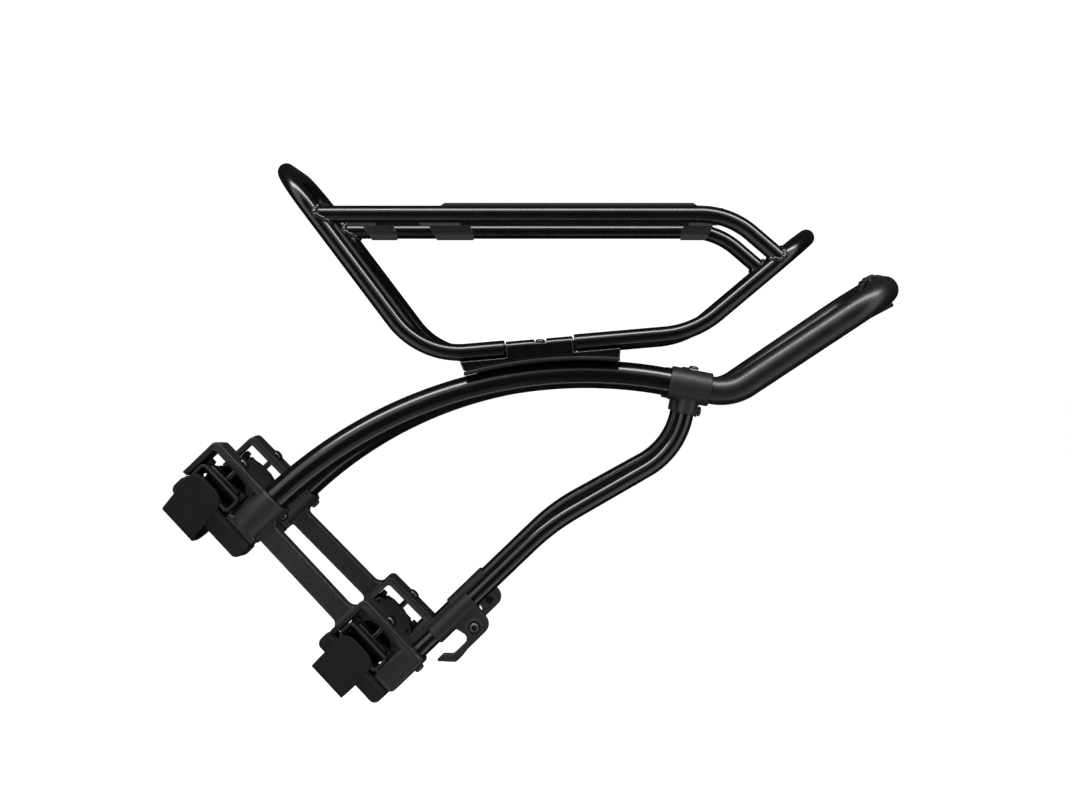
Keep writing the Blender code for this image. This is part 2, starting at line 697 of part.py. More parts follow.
def rear_collar():
    """The collar that joins main tube, handle and lower stay, with its two bolts."""
    start, end = COLLAR_START, COLLAR_START + COLLAR_AXIS * COLLAR_LENGTH
    body = rod("left_rear_collar", start, end, COLLAR_RADIUS, 32, None, SATIN_BLACK)
    middle = start + COLLAR_AXIS * STAY_SOCKET_OFFSET
    bottom = middle + COLLAR_DOWN * STAY_SOCKET_END
    socket = rod("socket", middle, bottom, STAY_SOCKET_RADIUS, 24, None, SATIN_BLACK)
    body = joined(body, socket)
    radius = LARGE_TUBE / 2 + SOCKET_CLEARANCE
    bore = rod("bore", start - COLLAR_AXIS * MM, end + COLLAR_AXIS * MM, radius, 32, None, SATIN_BLACK)
    stay_bore = rod(
        "stay_bore", middle + COLLAR_DOWN * STAY_SOCKET_FLOOR, bottom + COLLAR_DOWN * MM,
        SMALL_TUBE / 2 + SOCKET_CLEARANCE, 24, None, SATIN_BLACK,
    )
    body = smooth(cut(body, bore, stay_bore))
    top = middle - COLLAR_DOWN * (COLLAR_RADIUS + GAP)
    behind = middle + COLLAR_DOWN * 15 * MM + COLLAR_AXIS * (STAY_SOCKET_RADIUS + GAP)
    top_bolt = screw("left_collar_bolt", top, -COLLAR_DOWN, SMALL_SCREW, 0.1 * MM, STEEL)
    stay_bolt = screw("left_collar_stay_bolt", behind, COLLAR_AXIS, SMALL_SCREW, 0.1 * MM, STEEL)
    return body, top_bolt, stay_bolt


def handle():
    """The rear handle: out of both collars, bent upwards, flaring to the crossbar."""
    start = COLLAR_START + COLLAR_AXIS * (COLLAR_LENGTH / 2 + GAP)
    bend = COLLAR_START + COLLAR_AXIS * ((HANDLE_BEND_X - COLLAR_START.x) / COLLAR_AXIS.x)
    end = handle_end()
    left = [start, bend, end]
    right = [Vector((p.x, -p.y, p.z)) for p in reversed(left)]
    radii = [HANDLE_BEND_RADIUS, HANDLE_CORNER_RADIUS, HANDLE_CORNER_RADIUS, HANDLE_BEND_RADIUS]
    return tube("rear_handle_tube", rounded(left + right, radii), LARGE_TUBE, SATIN_TUBE, 3)


def handle_end():
    """Where the left side of the handle would meet the crossbar's axis."""
    bend = COLLAR_START + COLLAR_AXIS * ((HANDLE_BEND_X - COLLAR_START.x) / COLLAR_AXIS.x)
    x, z = polar(HANDLE_LENGTH, HANDLE_RISE)
    return Vector((bend.x + x, -HANDLE_HALF_WIDTH, bend.z + z))


def light_bracket():
    """A band round the handle's crossbar with a flat plate below it for a rear light."""
    centre = handle_end()
    centre.y = 0
    place = Matrix.Translation(centre) @ Matrix.Rotation(-LIGHT_PLATE_ANGLE, 4, "Y")
    reach = LIGHT_BAND_HALF_WIDTH
    band = rod("light_bracket", (0, -reach, 0), (0, reach, 0), LIGHT_BAND_RADIUS, 28, place, MATT_BLACK)
    low = (LIGHT_PLATE_X[0], -LIGHT_PLATE_HALF_WIDTH, LIGHT_PLATE_Z[0])
    high = (LIGHT_PLATE_X[1], LIGHT_PLATE_HALF_WIDTH, LIGHT_PLATE_Z[1])
    foot = box("foot", low, high, place, MATT_BLACK)
    ears = box("ears", (-16.5 * MM, -reach, -3.5 * MM), (-9 * MM, reach, 3.5 * MM), place, MATT_BLACK)
    body = joined(band, foot, ears)
    bore = LARGE_TUBE / 2 + GAP
    hole = rod("hole", (0, -2 * reach, 0), (0, 2 * reach, 0), bore, 28, place, MATT_BLACK)
    slot = box("slot", (-19 * MM, -2 * reach, -0.6 * MM), (-6 * MM, 2 * reach, 0.6 * MM), place, MATT_BLACK)
    body = smooth(cut(body, hole, slot))
    head = place @ Vector((-13.9 * MM, 0, 3.5 * MM + GAP))
    outward = place.to_3x3() @ Vector((0, 0, 1))
    size = (2.4 * MM, 1.8 * MM, 1.2 * MM)
    return body, screw("light_bracket_screw", head, outward, size, 0.1 * MM, STEEL)


def lower_stay():
    start = BRACKET_FRAME @ Vector((LOWER_BOSS_X, 0, SOCKET_FLOOR_Z + GAP))
    climb = Vector((math.sin(STAY_ANGLE), 0, math.cos(STAY_ANGLE)))
    first = start + climb * ((STAY_FIRST_BEND_X - start.x) / climb.x)
    end = COLLAR_START + COLLAR_AXIS * STAY_SOCKET_OFFSET + COLLAR_DOWN * (STAY_SOCKET_FLOOR + GAP)
    second = end + COLLAR_DOWN * (STAY_SECOND_BEND_DROP - STAY_SOCKET_FLOOR)
    path = rounded([start, first, second, end], [STAY_FIRST_BEND_RADIUS, STAY_SECOND_BEND_RADIUS])
    return tube("left_lower_stay", path, SMALL_TUBE, GLOSS_BLACK, 2)


def stay_hook():
    """A hook on a sleeve that slides along the lower stay and is locked by its bolt."""
    low, high = HOOK_Z
    corners = [
        (0, 100), (20.7, 97.5), (20.9, 76), (21.7, 70), (21.7, 65.2), (13, 56.8),
        (12, 58.2), (12, 62.9), (16.6, 67.6), (16.6, 82.2), (7, 79.6), (0, 79.6),
    ]
    radii = [0, 7, 0, 0, 2, 0, 0, 1, 2, 3, 0, 0]
    outline = rounded_loop(
        [(x * MM + LOWER_BOSS_X, z * MM) for x, z in corners], [radius * MM for radius in radii]
    )
    body = plate("left_stay_hook", [outline], 2 * HOOK_HALF_DEPTH, BRACKET_FRAME @ SIDE_VIEW, MATT_BLACK)
    ends = ((LOWER_BOSS_X, 0, low), (LOWER_BOSS_X, 0, high))
    body = joined(body, rod("sleeve", *ends, HOOK_SLEEVE_RADIUS, 24, BRACKET_FRAME, MATT_BLACK))
    ends = ((LOWER_BOSS_X, 0, low - MM), (LOWER_BOSS_X, 0, high + MM))
    bore = rod("bore", *ends, SMALL_TUBE / 2 + SOCKET_CLEARANCE, 24, BRACKET_FRAME, MATT_BLACK)
    x, z = HOOK_BOLT[0] + LOWER_BOSS_X, HOOK_BOLT[1]
    reach = 2 * HOOK_HALF_DEPTH
    radius = SMALL_SCREW[2] + SCREW_CLEARANCE
    hole = rod("hole", (x, -reach, z), (x, reach, z), radius, 16, BRACKET_FRAME, MATT_BLACK)
    body = smooth(cut(body, bore, hole))
    place = BRACKET_FRAME @ Vector((x, -HOOK_HALF_DEPTH - GAP, z))
    outward = BRACKET_FRAME.to_3x3() @ Vector((0, -1, 0))
    return body, screw("left_hook_bolt", place, outward, SMALL_SCREW, reach + 1.5 * MM, STEEL)


clear_scene()
PARTS = bpy.data.collections.new("bicycle_rear_rack")
bpy.context.scene.collection.children.link(PARTS)

GLOSS_BLACK = material("gloss_black_tube", (0.012, 0.012, 0.014), 0.12, 0.0)
SATIN_TUBE = material("satin_black_tube", (0.02, 0.02, 0.022), 0.32, 0.0)
SATIN_BLACK = material("satin_black_casting", (0.035, 0.035, 0.037), 0.45, 0.0)
MATT_BLACK = material("matt_black_plastic", (0.04, 0.04, 0.042), 0.6, 0.0)
RUBBER = material("black_rubber", (0.045, 0.045, 0.047), 0.75, 0.0)
STEEL = material("blackened_steel", (0.16, 0.16, 0.17), 0.35, 1.0)

FRONT_HOOP = hoop_path(TUBE_ENDS_X[0], FRONT_BEND, FRONT_TOP, FRONT_BEND_RADIUS)
REAR_HOOP = hoop_path(TUBE_ENDS_X[1], REAR_BEND, REAR_TOP, REAR_BEND_RADIUS)
BRACKET_FRAME = bracket_frame()
MAIN_RADIUS = main_arc_radius()
SOCKET_BOLTS = {
    "upper": (UPPER_BOSS_X + UPPER_BOSS_RADIUS, 47.9 * MM),
    "lower": (LOWER_BOSS_X + LOWER_BOSS_RADIUS, 45.3 * MM),
}
COLLAR_AXIS = Vector((math.cos(COLLAR_TILT), 0, -math.sin(COLLAR_TILT)))
COLLAR_DOWN = Vector((-math.sin(COLLAR_TILT), 0, -math.cos(COLLAR_TILT)))
COLLAR_START = on_arch(MAIN_RADIUS, -COLLAR_TILT, -COLLAR_Y)

hoop("front_hoop_tube", FRONT_HOOP)
hoop("rear_hoop_tube", REAR_HOOP)
deck_plate()
bag_track()
both_sides(deck_rail(), *(deck_clip(place) for place in CLIP_CENTRES))
both_sides(*joiner(), joiner_liner())
both_sides(stay_bracket(), *socket_bolts())
both_sides(*clamp("upper", -CLAMP_X, UPPER_PAD_X, UPPER_PAD_BOTTOM, UPPER_STRAP_FOLD_Z))
both_sides(*clamp("lower", CLAMP_X, LOWER_PAD_X, LOWER_PAD_BOTTOM, LOWER_STRAP_FOLD_Z))
both_sides(main_tube(), lower_stay(), *rear_collar(), *stay_hook())
handle()
light_bracket()
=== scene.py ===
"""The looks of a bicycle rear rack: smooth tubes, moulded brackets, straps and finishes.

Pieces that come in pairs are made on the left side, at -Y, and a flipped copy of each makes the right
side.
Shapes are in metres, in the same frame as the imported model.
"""

import math

import bmesh
import bpy
from mathutils import Matrix, Vector


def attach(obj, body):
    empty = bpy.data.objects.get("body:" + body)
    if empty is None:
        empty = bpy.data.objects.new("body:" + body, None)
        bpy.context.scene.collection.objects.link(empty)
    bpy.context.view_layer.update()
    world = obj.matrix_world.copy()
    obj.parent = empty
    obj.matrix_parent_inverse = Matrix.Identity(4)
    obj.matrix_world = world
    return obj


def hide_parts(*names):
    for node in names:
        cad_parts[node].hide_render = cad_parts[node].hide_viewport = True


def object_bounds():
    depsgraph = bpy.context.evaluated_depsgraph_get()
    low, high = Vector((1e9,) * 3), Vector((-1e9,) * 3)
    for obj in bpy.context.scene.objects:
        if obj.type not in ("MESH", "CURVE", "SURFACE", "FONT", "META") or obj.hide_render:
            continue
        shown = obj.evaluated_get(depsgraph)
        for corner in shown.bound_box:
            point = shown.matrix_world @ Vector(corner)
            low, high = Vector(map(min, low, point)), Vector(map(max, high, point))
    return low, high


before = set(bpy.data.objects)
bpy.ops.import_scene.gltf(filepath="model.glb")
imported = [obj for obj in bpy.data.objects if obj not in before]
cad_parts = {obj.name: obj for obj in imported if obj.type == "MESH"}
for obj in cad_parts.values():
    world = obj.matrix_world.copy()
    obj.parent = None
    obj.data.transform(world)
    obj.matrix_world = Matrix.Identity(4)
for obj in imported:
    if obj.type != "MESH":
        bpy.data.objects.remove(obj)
cad_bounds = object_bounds()

MM = 0.001
GAP = 0.3 * MM

# Camera, at the height of the lower part of the platform and square to the side of the rack
CAMERA_PLACE = (0.2182, -1.010, 0.1407)
CAMERA_LENS = 50.61
CAMERA_SHIFT = (-0.0623, -0.0206)

# The white surroundings, and the floor's depth below the rack
WORLD_GLOW = 1.15
FLOOR_DROP = 250 * MM

# Lights: place, what it points at, size in metres, power in watts
LOOK_AT = (0.2, 0, 0.1)
OVERHEAD = ((0.2, -0.6, 1.15), LOOK_AT, (2.2, 0.3), 30)
BELOW = ((0.2, -0.2, -0.29), (0.2, -0.05, 0.1), (1.6, 0.05), 0.7)
REAR_RIGHT = ((1.3, 1.0, 0.9), LOOK_AT, (0.8, 0.8), 7)

# What shiny parts mirror: a soft ring of light round the camera's side, brighter above
SIDE_GLOW = 2.1
TOP_GLOW = 1.0
DARK_GLOW = 0.02
RING_INNER = (-0.93, -0.8)
RING_OUTER = (-0.45, -0.2)

# Tubes
SMALL_RADIUS = 5.5 * MM
LARGE_RADIUS = 9 * MM
TUBE_SIDES = 48
WIDE_TUBE_SIDES = 64
FINE_SIDES = 96
BEND_STEP = math.radians(2.5)

# Platform, in side view (x, z)
TRACK_Y = 55 * MM
DECK_Z = 245 * MM
FRONT_TOP = (12.9 * MM, 276.2 * MM)
FRONT_BEND = (104.4 * MM, 154.7 * MM)
REAR_BEND = (278.4 * MM, 169.8 * MM)
REAR_TOP = (353.4 * MM, 232.8 * MM)
RAIL_BEND_X = 300.5 * MM
RAIL_END = (333.7 * MM, 216.5 * MM)
FRONT_BEND_RADIUS = 52 * MM
REAR_BEND_RADIUS = 60 * MM
RAIL_BEND_RADIUS = 50 * MM
HOOP_CORNER_RADIUS = 32 * MM
HOOP_INSET = 0.06 * MM  # keeps the skin inside the CAD's box

# Weld beads: a ring of overlapping puddles where a rail meets a hoop
BEAD_RADIUS = 1.35 * MM
BEAD_SIDES = 12
BEAD_STEPS = 72
BEAD_SEARCH = 30 * MM
BEAD_HALVINGS = 30
PUDDLE_RISE = 0.55 * MM
PUDDLE_STEPS = 4.5

# Deck plate, bag track and clips
PLATE_X = (52 * MM, 298 * MM)
PLATE_HALF_WIDTH = 38 * MM
PLATE_Z = (247.5 * MM, 250.5 * MM)
PLATE_CORNER_RADIUS = 8 * MM
BAG_TRACK_X = (108 * MM, 287.5 * MM)
BAG_TRACK_HALF_WIDTH = 24 * MM
BAG_TRACK_TOP = 256 * MM
BAG_TRACK_END_BEVEL = 8 * MM
BAG_TRACK_GROOVE = 7 * MM
CLIPS = {"front": (64 * MM, 22 * MM), "middle": (114 * MM, 30 * MM), "rear": (286 * MM, 22 * MM)}
CLIP_THICKNESS = 2.2 * MM

# Joiner block
JOINER_Y = (-60.5 * MM, -38 * MM)
JOINER_X = (129.2 * MM, 231.4 * MM)
JOINER_FOOT_X = (131.8 * MM, 231 * MM)
JOINER_TOP = 4.4 * MM
TUBE_ENDS_X = (157.7 * MM, 201.9 * MM)
TUBE_END_GAP = 0.9 * MM
NOTCH_X = 180 * MM
NOTCH_HALF_LENGTH = 4 * MM
NOTCH_DEPTH = 2.4 * MM
LINER_THICKNESS = 2.4 * MM

# Brackets, in their own frame: x down the seatstay, y towards the middle, z away from it
STAY_ANGLE = math.radians(46.2)
BRACKET_SPLAY = math.radians(3.5)
BRACKET_Y = 54 * MM
CLAMP_X = 68.9 * MM
WINDOW_HALF_LENGTH = 18 * MM
FRAME_WALL = 3.6 * MM
FRAME_HALF_DEPTH = 10 * MM
FRAME_Z = (22.5 * MM, 52.2 * MM)
TOP_BAR_Z = 46.5 * MM
ARM_Z = (27.3 * MM, 40.6 * MM)
ARM_HALF_DEPTH = 5 * MM
UPPER_BOSS_X = -38.6 * MM
UPPER_BOSS_RADIUS = 12.3 * MM
LOWER_BOSS_X = 94.7 * MM
LOWER_BOSS_RADIUS = 7.8 * MM
SOCKET_FLOOR_Z = 30 * MM
SOCKET_CLEARANCE = 0.4 * MM
UPPER_PAD_X = (-88.5 * MM, -26.6 * MM)
LOWER_PAD_X = (46.7 * MM, 100.6 * MM)
UPPER_PAD_BOTTOM = 8.4 * MM
LOWER_PAD_BOTTOM = 10 * MM
PAD_TOP = 22.2 * MM
PAD_HALF_DEPTH = 9 * MM
CARRIAGE_HALF_LENGTH = 17 * MM
CARRIAGE_Z = (24 * MM, 36.4 * MM)
CARRIAGE_WALL = 2 * MM
TEETH = 14
TEETH_Y = 5.5 * MM
TEETH_WIDTH = 5 * MM
NUT_PLATE_HALF = (12 * MM, 6 * MM)
GUIDE_X = (13.2 * MM, 17.2 * MM)
GUIDE_HALF_WIDTH = 3.6 * MM
STRAP_WIDTH = 27.5 * MM
STRAP_THICKNESS = 2.2 * MM
STRAP_INNER_Y = 12.5 * MM
STRAP_TOP_Z = 41.5 * MM
STRAP_FOLD_Y = -8.5 * MM
UPPER_STRAP_FOLD_Z = -3.4 * MM
LOWER_STRAP_FOLD_Z = -1.6 * MM
STRAP_FREE_END = (-30 * MM, 34 * MM)
STRAP_FOLD_RADII = (8.5 * MM, 9 * MM)
STRAP_END_RADIUS = 9 * MM
STRAP_ROW_STEP = 0.9 * MM
STRAP_COLUMNS = 16

# Main tube, collar, handle and stay
ARC_CENTRE = (209 * MM, -144 * MM)
COLLAR_TILT = math.radians(10.8)
COLLAR_Y = 45 * MM
COLLAR_LENGTH = 27 * MM
COLLAR_RADIUS = 10.8 * MM
STAY_SOCKET_OFFSET = 13.8 * MM
STAY_SOCKET_RADIUS = 7.3 * MM
STAY_SOCKET_END = 18.3 * MM
STAY_SOCKET_FLOOR = 11.2 * MM
HANDLE_RISE = math.radians(33.9)
HANDLE_LENGTH = 121.4 * MM
HANDLE_BEND_X = 302.5 * MM
HANDLE_HALF_WIDTH = 60 * MM
HANDLE_BEND_RADIUS = 30 * MM
HANDLE_CORNER_RADIUS = 25 * MM
LIGHT_BAND_HALF_WIDTH = 9 * MM
LIGHT_BAND_RADIUS = 11.6 * MM
LIGHT_RIBS = 5
FIRST_RIB_ANGLE = math.radians(78)
RIB_PITCH = math.radians(17)
LIGHT_PLATE_X = (-16 * MM, 5 * MM)
LIGHT_PLATE_Z = (-13.4 * MM, -10.6 * MM)
LIGHT_PLATE_HALF_WIDTH = 13 * MM
LIGHT_PLATE_ANGLE = math.radians(28)
STAY_FIRST_BEND_X = 186.5 * MM
STAY_FIRST_BEND_RADIUS = 120 * MM
STAY_SECOND_BEND_RADIUS = 50 * MM
STAY_SECOND_BEND_DROP = 41.9 * MM
HOOK_Z = (66.5 * MM, 100.1 * MM)
HOOK_SLEEVE_RADIUS = 6.8 * MM
HOOK_HALF_DEPTH = 3.2 * MM
HOOK_BOLT = (14 * MM, 88.7 * MM)

# Screws: head radius, head height
BUTTON_HEAD = (4 * MM, 2.8 * MM)
SMALL_HEAD = (3.3 * MM, 2.2 * MM)
LIGHT_HEAD = (2.4 * MM, 1.8 * MM)
SMALL_SHANK_RADIUS = 1.8 * MM
TENSION_SHANK_RADIUS = 2 * MM
TENSION_SHANK_LENGTH = 19.4 * MM

# Mouldings: sizes of the voxels that skin them, and the share of the skin's faces that is kept
COARSE_VOXEL = 0.45 * MM
MIDDLE_VOXEL = 0.4 * MM
FINE_VOXEL = 0.35 * MM
MOULDED_SHARE = 0.4

# Turns of the bracket's, block's and plates' outlines to the side view and to the end view
SIDE_VIEW = Matrix(((1, 0, 0, 0), (0, 0, -1, 0), (0, 1, 0, 0), (0, 0, 0, 1)))
END_VIEW = Matrix(((0, 0, 1, 0), (1, 0, 0, 0), (0, 1, 0, 0), (0, 0, 0, 1)))


# ---------------------------------------------------------------- finishes


def finish(name, colour, roughness, metallic=0.0, specular=0.5):
    """A new material with its Principled shader and the object's own coordinates in metres."""
    made = bpy.data.materials.new(name)
    made.use_nodes = True
    nodes = made.node_tree.nodes
    shader = nodes["Principled BSDF"]
    shader.inputs["Base Color"].default_value = (*colour, 1)
    shader.inputs["Roughness"].default_value = roughness
    shader.inputs["Metallic"].default_value = metallic
    shader.inputs["Specular IOR Level"].default_value = specular
    where = nodes.new("ShaderNodeTexCoord").outputs["Object"]
    return made, shader, where


def noise(made, where, grain, detail=3):
    """Noise whose features are about this many metres across."""
    node = made.node_tree.nodes.new("ShaderNodeTexNoise")
    node.inputs["Scale"].default_value = 1 / grain
    node.inputs["Detail"].default_value = detail
    made.node_tree.links.new(where, node.inputs["Vector"])
    return node.outputs["Fac"]


def spread(made, source, target, low, high):
    """Maps noise around its middle to a socket's range."""
    node = made.node_tree.nodes.new("ShaderNodeMapRange")
    node.inputs["From Min"].default_value = 0.3
    node.inputs["From Max"].default_value = 0.7
    node.inputs["To Min"].default_value = low
    node.inputs["To Max"].default_value = high
    made.node_tree.links.new(source, node.inputs["Value"])
    made.node_tree.links.new(node.outputs["Result"], target)


def tint(made, source, shader, dark, light):
    """Varies the base colour between two close tones."""
    node = made.node_tree.nodes.new("ShaderNodeMix")
    node.data_type = "RGBA"
    node.inputs["A"].default_value = (*dark, 1)
    node.inputs["B"].default_value = (*light, 1)
    made.node_tree.links.new(source, node.inputs["Factor"])
    made.node_tree.links.new(node.outputs["Result"], shader.inputs["Base Color"])


def relief(made, shader, heights):
    """Bumps stacked one on another, each a (source, depth in metres)."""
    normal = None
    for source, depth in heights:
        node = made.node_tree.nodes.new("ShaderNodeBump")
        node.inputs["Distance"].default_value = depth
        made.node_tree.links.new(source, node.inputs["Height"])
        if normal:
            made.node_tree.links.new(normal, node.inputs["Normal"])
        normal = node.outputs["Normal"]
    made.node_tree.links.new(normal, shader.inputs["Normal"])


def surface(name, colour, roughness, patches, grains, tones=None, metallic=0.0, specular=0.5):
    """A material with uneven roughness, a fine relief and, where given, two close tones.

    Patches are (size, lowest and highest roughness), grains are (size, depth, detail) and
    tones are (size, dark, light).
    """
    made, shader, where = finish(name, colour, roughness, metallic, specular)
    if tones:
        size, dark, light = tones
        tint(made, noise(made, where, size), shader, dark, light)
    size, low, high = patches
    spread(made, noise(made, where, size), shader.inputs["Roughness"], low, high)
    heights = [(noise(made, where, size, detail), depth) for size, depth, detail in grains]
    relief(made, shader, heights)
    return made


# ---------------------------------------------------------------- shape helpers


def polar(radius, angle):
    return (radius * math.cos(angle), radius * math.sin(angle))


def rounded(corners, radii, step=BEND_STEP):
    """The path through the corners, with an arc of the given radius at each inner one."""
    points = [Vector(corner) for corner in corners]
    path = [points[0]]
    for before, corner, after, radius in zip(points, points[1:], points[2:], radii):
        into = (corner - before).normalized()
        out = (after - corner).normalized()
        turn = into.angle(out)
        if radius == 0 or turn < 1e-6:
            path.append(corner)
            continue
        start = corner - into * radius * math.tan(turn / 2)
        inward = (out - into * out.dot(into)).normalized()
        steps = max(3, math.ceil(turn / step))
        for index in range(steps + 1):
            angle = turn * index / steps
            path.append(start + (into * math.sin(angle) + inward * (1 - math.cos(angle))) * radius)
    path.append(points[-1])
    return path


def rounded_loop(corners, radii, step=math.radians(9)):
    closed = [corners[-1], *corners, corners[0]]
    return rounded([Vector((x, y, 0)) for x, y in closed], radii, step)[1:-1]


def new_object(name, shape):
    mesh = bpy.data.meshes.new(name)
    bmesh.ops.recalc_face_normals(shape, faces=shape.faces)
    shape.to_mesh(mesh)
    shape.free()
    obj = bpy.data.objects.new(name, mesh)
    bpy.context.scene.collection.objects.link(obj)
    return obj


def baked(obj):
    """The object with its modifiers applied and its place in its mesh."""
    bpy.context.view_layer.update()
    graph = bpy.context.evaluated_depsgraph_get()
    mesh = bpy.data.meshes.new_from_object(obj.evaluated_get(graph))
    mesh.transform(obj.matrix_world)
    name = obj.name
    bpy.data.objects.remove(obj)
    shape = bmesh.new()
    shape.from_mesh(mesh)
    bmesh.ops.remove_doubles(shape, verts=shape.verts, dist=1e-6)
    bmesh.ops.recalc_face_normals(shape, faces=shape.faces)
    shape.to_mesh(mesh)
    shape.free()
    made = bpy.data.objects.new(name, mesh)
    bpy.context.scene.collection.objects.link(made)
    made.name = name
    return made


def ring_round(shape, middle, radius, across, other, sides):
    """A ring of vertices round a point, in the plane of two directions."""
    ring = []
    for side in range(sides):
        y, z = polar(radius, 2 * math.pi * side / sides)
        ring.append(shape.verts.new(middle + across * y + other * z))
    return ring


def skin_between(shape, pairs):
    """Four-sided faces between each pair of rings."""
    for one, two in pairs:
        for side in range(len(one)):
            after = (side + 1) % len(one)
            shape.faces.new((one[side], one[after], two[after], two[side]))


def sweep(name, path, radii, sides=TUBE_SIDES, closed=False):
    """A round skin along a path, whose radius may change from point to point."""
    path = [Vector(point) for point in path]
    count = len(path)
    if not isinstance(radii, list):
        radii = [radii] * count
    tangents = []
    for index in range(count):
        before = path[index - 1] if index or closed else path[index]
        after = path[(index + 1) % count] if index < count - 1 or closed else path[index]
        tangents.append((after - before).normalized())
    across = tangents[0].orthogonal().normalized()
    shape = bmesh.new()
    rings = []
    for point, tangent, radius in zip(path, tangents, radii):
        across = (across - tangent * across.dot(tangent)).normalized()
        rings.append(ring_round(shape, point, radius, across, tangent.cross(across), sides))
    if closed:
        last = rings[-1][0].co
        first = min(range(sides), key=lambda side: (rings[0][side].co - last).length)
        pairs = list(zip(rings, rings[1:]))
        pairs.append((rings[-1], rings[0][first:] + rings[0][:first]))
    else:
        pairs = list(zip(rings, rings[1:]))
        shape.faces.new(rings[0])
        shape.faces.new(rings[-1])
    skin_between(shape, pairs)
    return new_object(name, shape)


def turned(name, profile, place, direction, sides=TUBE_SIDES):
    """A turned piece: (radius, height) pairs about a direction, from one end to the other."""
    place, direction = Vector(place), Vector(direction).normalized()
    across = direction.orthogonal().normalized()
    other = direction.cross(across)
    shape = bmesh.new()
    rings = []
    for radius, height in profile:
        middle = place + direction * height
        rings.append(ring_round(shape, middle, radius, across, other, sides))
    shape.faces.new(rings[0])
    shape.faces.new(rings[-1])
    skin_between(shape, zip(rings, rings[1:]))
    return new_object(name, shape)


def rod(name, start, end, radius, matrix=None, chamfer=0.0, sides=TUBE_SIDES):
    matrix = matrix or Matrix.Identity(4)
    start, end = matrix @ Vector(start), matrix @ Vector(end)
    length = (end - start).length
    profile = [(radius, 0), (radius, length)]
    if chamfer:
        profile = [
            (radius - chamfer, 0), (radius, chamfer),
            (radius, length - chamfer), (radius - chamfer, length),
        ]
    return turned(name, profile, start, end - start, sides)


def plate(name, outlines, thickness, matrix, edge=0.0):
    """A flat piece from closed outlines in x and y, with rounded edges; inner outlines are holes."""
    curve = bpy.data.curves.new(name, "CURVE")
    curve.dimensions = "2D"
    curve.fill_mode = "BOTH"
    curve.extrude = thickness / 2 - edge
    curve.bevel_depth = edge
    curve.offset = -edge
    curve.bevel_resolution = 2
    for outline in outlines:
        spline = curve.splines.new("POLY")
        spline.points.add(len(outline) - 1)
        for point, spot in zip(spline.points, outline):
            point.co = (spot[0], spot[1], 0, 1)
        spline.use_cyclic_u = True
    obj = bpy.data.objects.new(name, curve)
    bpy.context.scene.collection.objects.link(obj)
    obj.matrix_world = matrix
    return baked(obj)


def box(name, low, high, matrix=None, edge=0.0):
    """A block between two corners, with its edges rounded."""
    shape = bmesh.new()
    size = [b - a for a, b in zip(low, high)]
    centre = [(a + b) / 2 for a, b in zip(low, high)]
    spot = Matrix.Translation(centre) @ Matrix.Diagonal((*size, 1))
    bmesh.ops.create_cube(shape, size=1, matrix=spot)
    if edge:
        bmesh.ops.bevel(
            shape, geom=shape.edges[:], offset=edge, segments=3, profile=0.5, affect="EDGES",
        )
    shape.transform(matrix or Matrix.Identity(4))
    return new_object(name, shape)


def combined(obj, others, operation):
    for other in others:
        modifier = obj.modifiers.new(operation, "BOOLEAN")
        modifier.operation = operation
        modifier.solver = "EXACT"
        modifier.object = other
    made = baked(obj)
    for other in others:
        bpy.data.objects.remove(other)
    return made


def joined(obj, others):
    """All the pieces in one mesh, for a voxel skin to make one solid of."""
    shape = bmesh.new()
    shape.from_mesh(obj.data)
    for other in others:
        shape.from_mesh(other.data)
        bpy.data.objects.remove(other)
    shape.to_mesh(obj.data)
    shape.free()
    return obj


def voxel_skin(obj, voxel, rounds, kept=1.0):
    remesh = obj.modifiers.new("Skin", "REMESH")
    remesh.mode = "VOXEL"
    remesh.voxel_size = voxel
    soften = obj.modifiers.new("Soften", "SMOOTH")
    soften.factor = 0.5
    soften.iterations = rounds
    if kept < 1:
        fewer = obj.modifiers.new("Fewer", "DECIMATE")
        fewer.ratio = kept
    return baked(obj)


def moulded(obj, added, removed, voxel, rounds):
    """One moulding: joined pieces less the cutters, with every edge and inner corner softened."""
    obj = voxel_skin(joined(obj, added), voxel, 1)
    obj = combined(obj, removed, "DIFFERENCE")
    return voxel_skin(obj, voxel, rounds, MOULDED_SHARE)


def smooth(obj, sharp=None):
    obj.data.shade_smooth()
    if sharp:
        obj.data.set_sharp_from_angle(angle=math.radians(sharp))
    return obj


# ---------------------------------------------------------------- placing pieces


def place(obj, material, slot, body, *nodes, sharp=None):
    """Gives a piece its material, its body and the CAD nodes it stands for. The slot argument is not
    used.
    """
    obj.data.materials.clear()
    obj.data.materials.append(material)
    smooth(obj, sharp)
    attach(obj, body)
    if nodes:
        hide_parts(*nodes)
    return obj


def both(obj, material, slot, body, *nodes, sharp=None):
    """Places a left piece and its flipped copy. A body on the left has its match on the right."""
    mesh = obj.data.copy()
    mesh.transform(Matrix.Scale(-1, 4, (0, 1, 0)))
    mesh.flip_normals()
    twin = bpy.data.objects.new(obj.name.replace("left_", "right_"), mesh)
    bpy.context.scene.collection.objects.link(twin)
    place(obj, material, slot, body, *nodes, sharp=sharp)
    other_nodes = [node.replace("left_", "right_") for node in nodes]
    place(twin, material, slot, body.replace("left_", "right_"), *other_nodes, sharp=sharp)


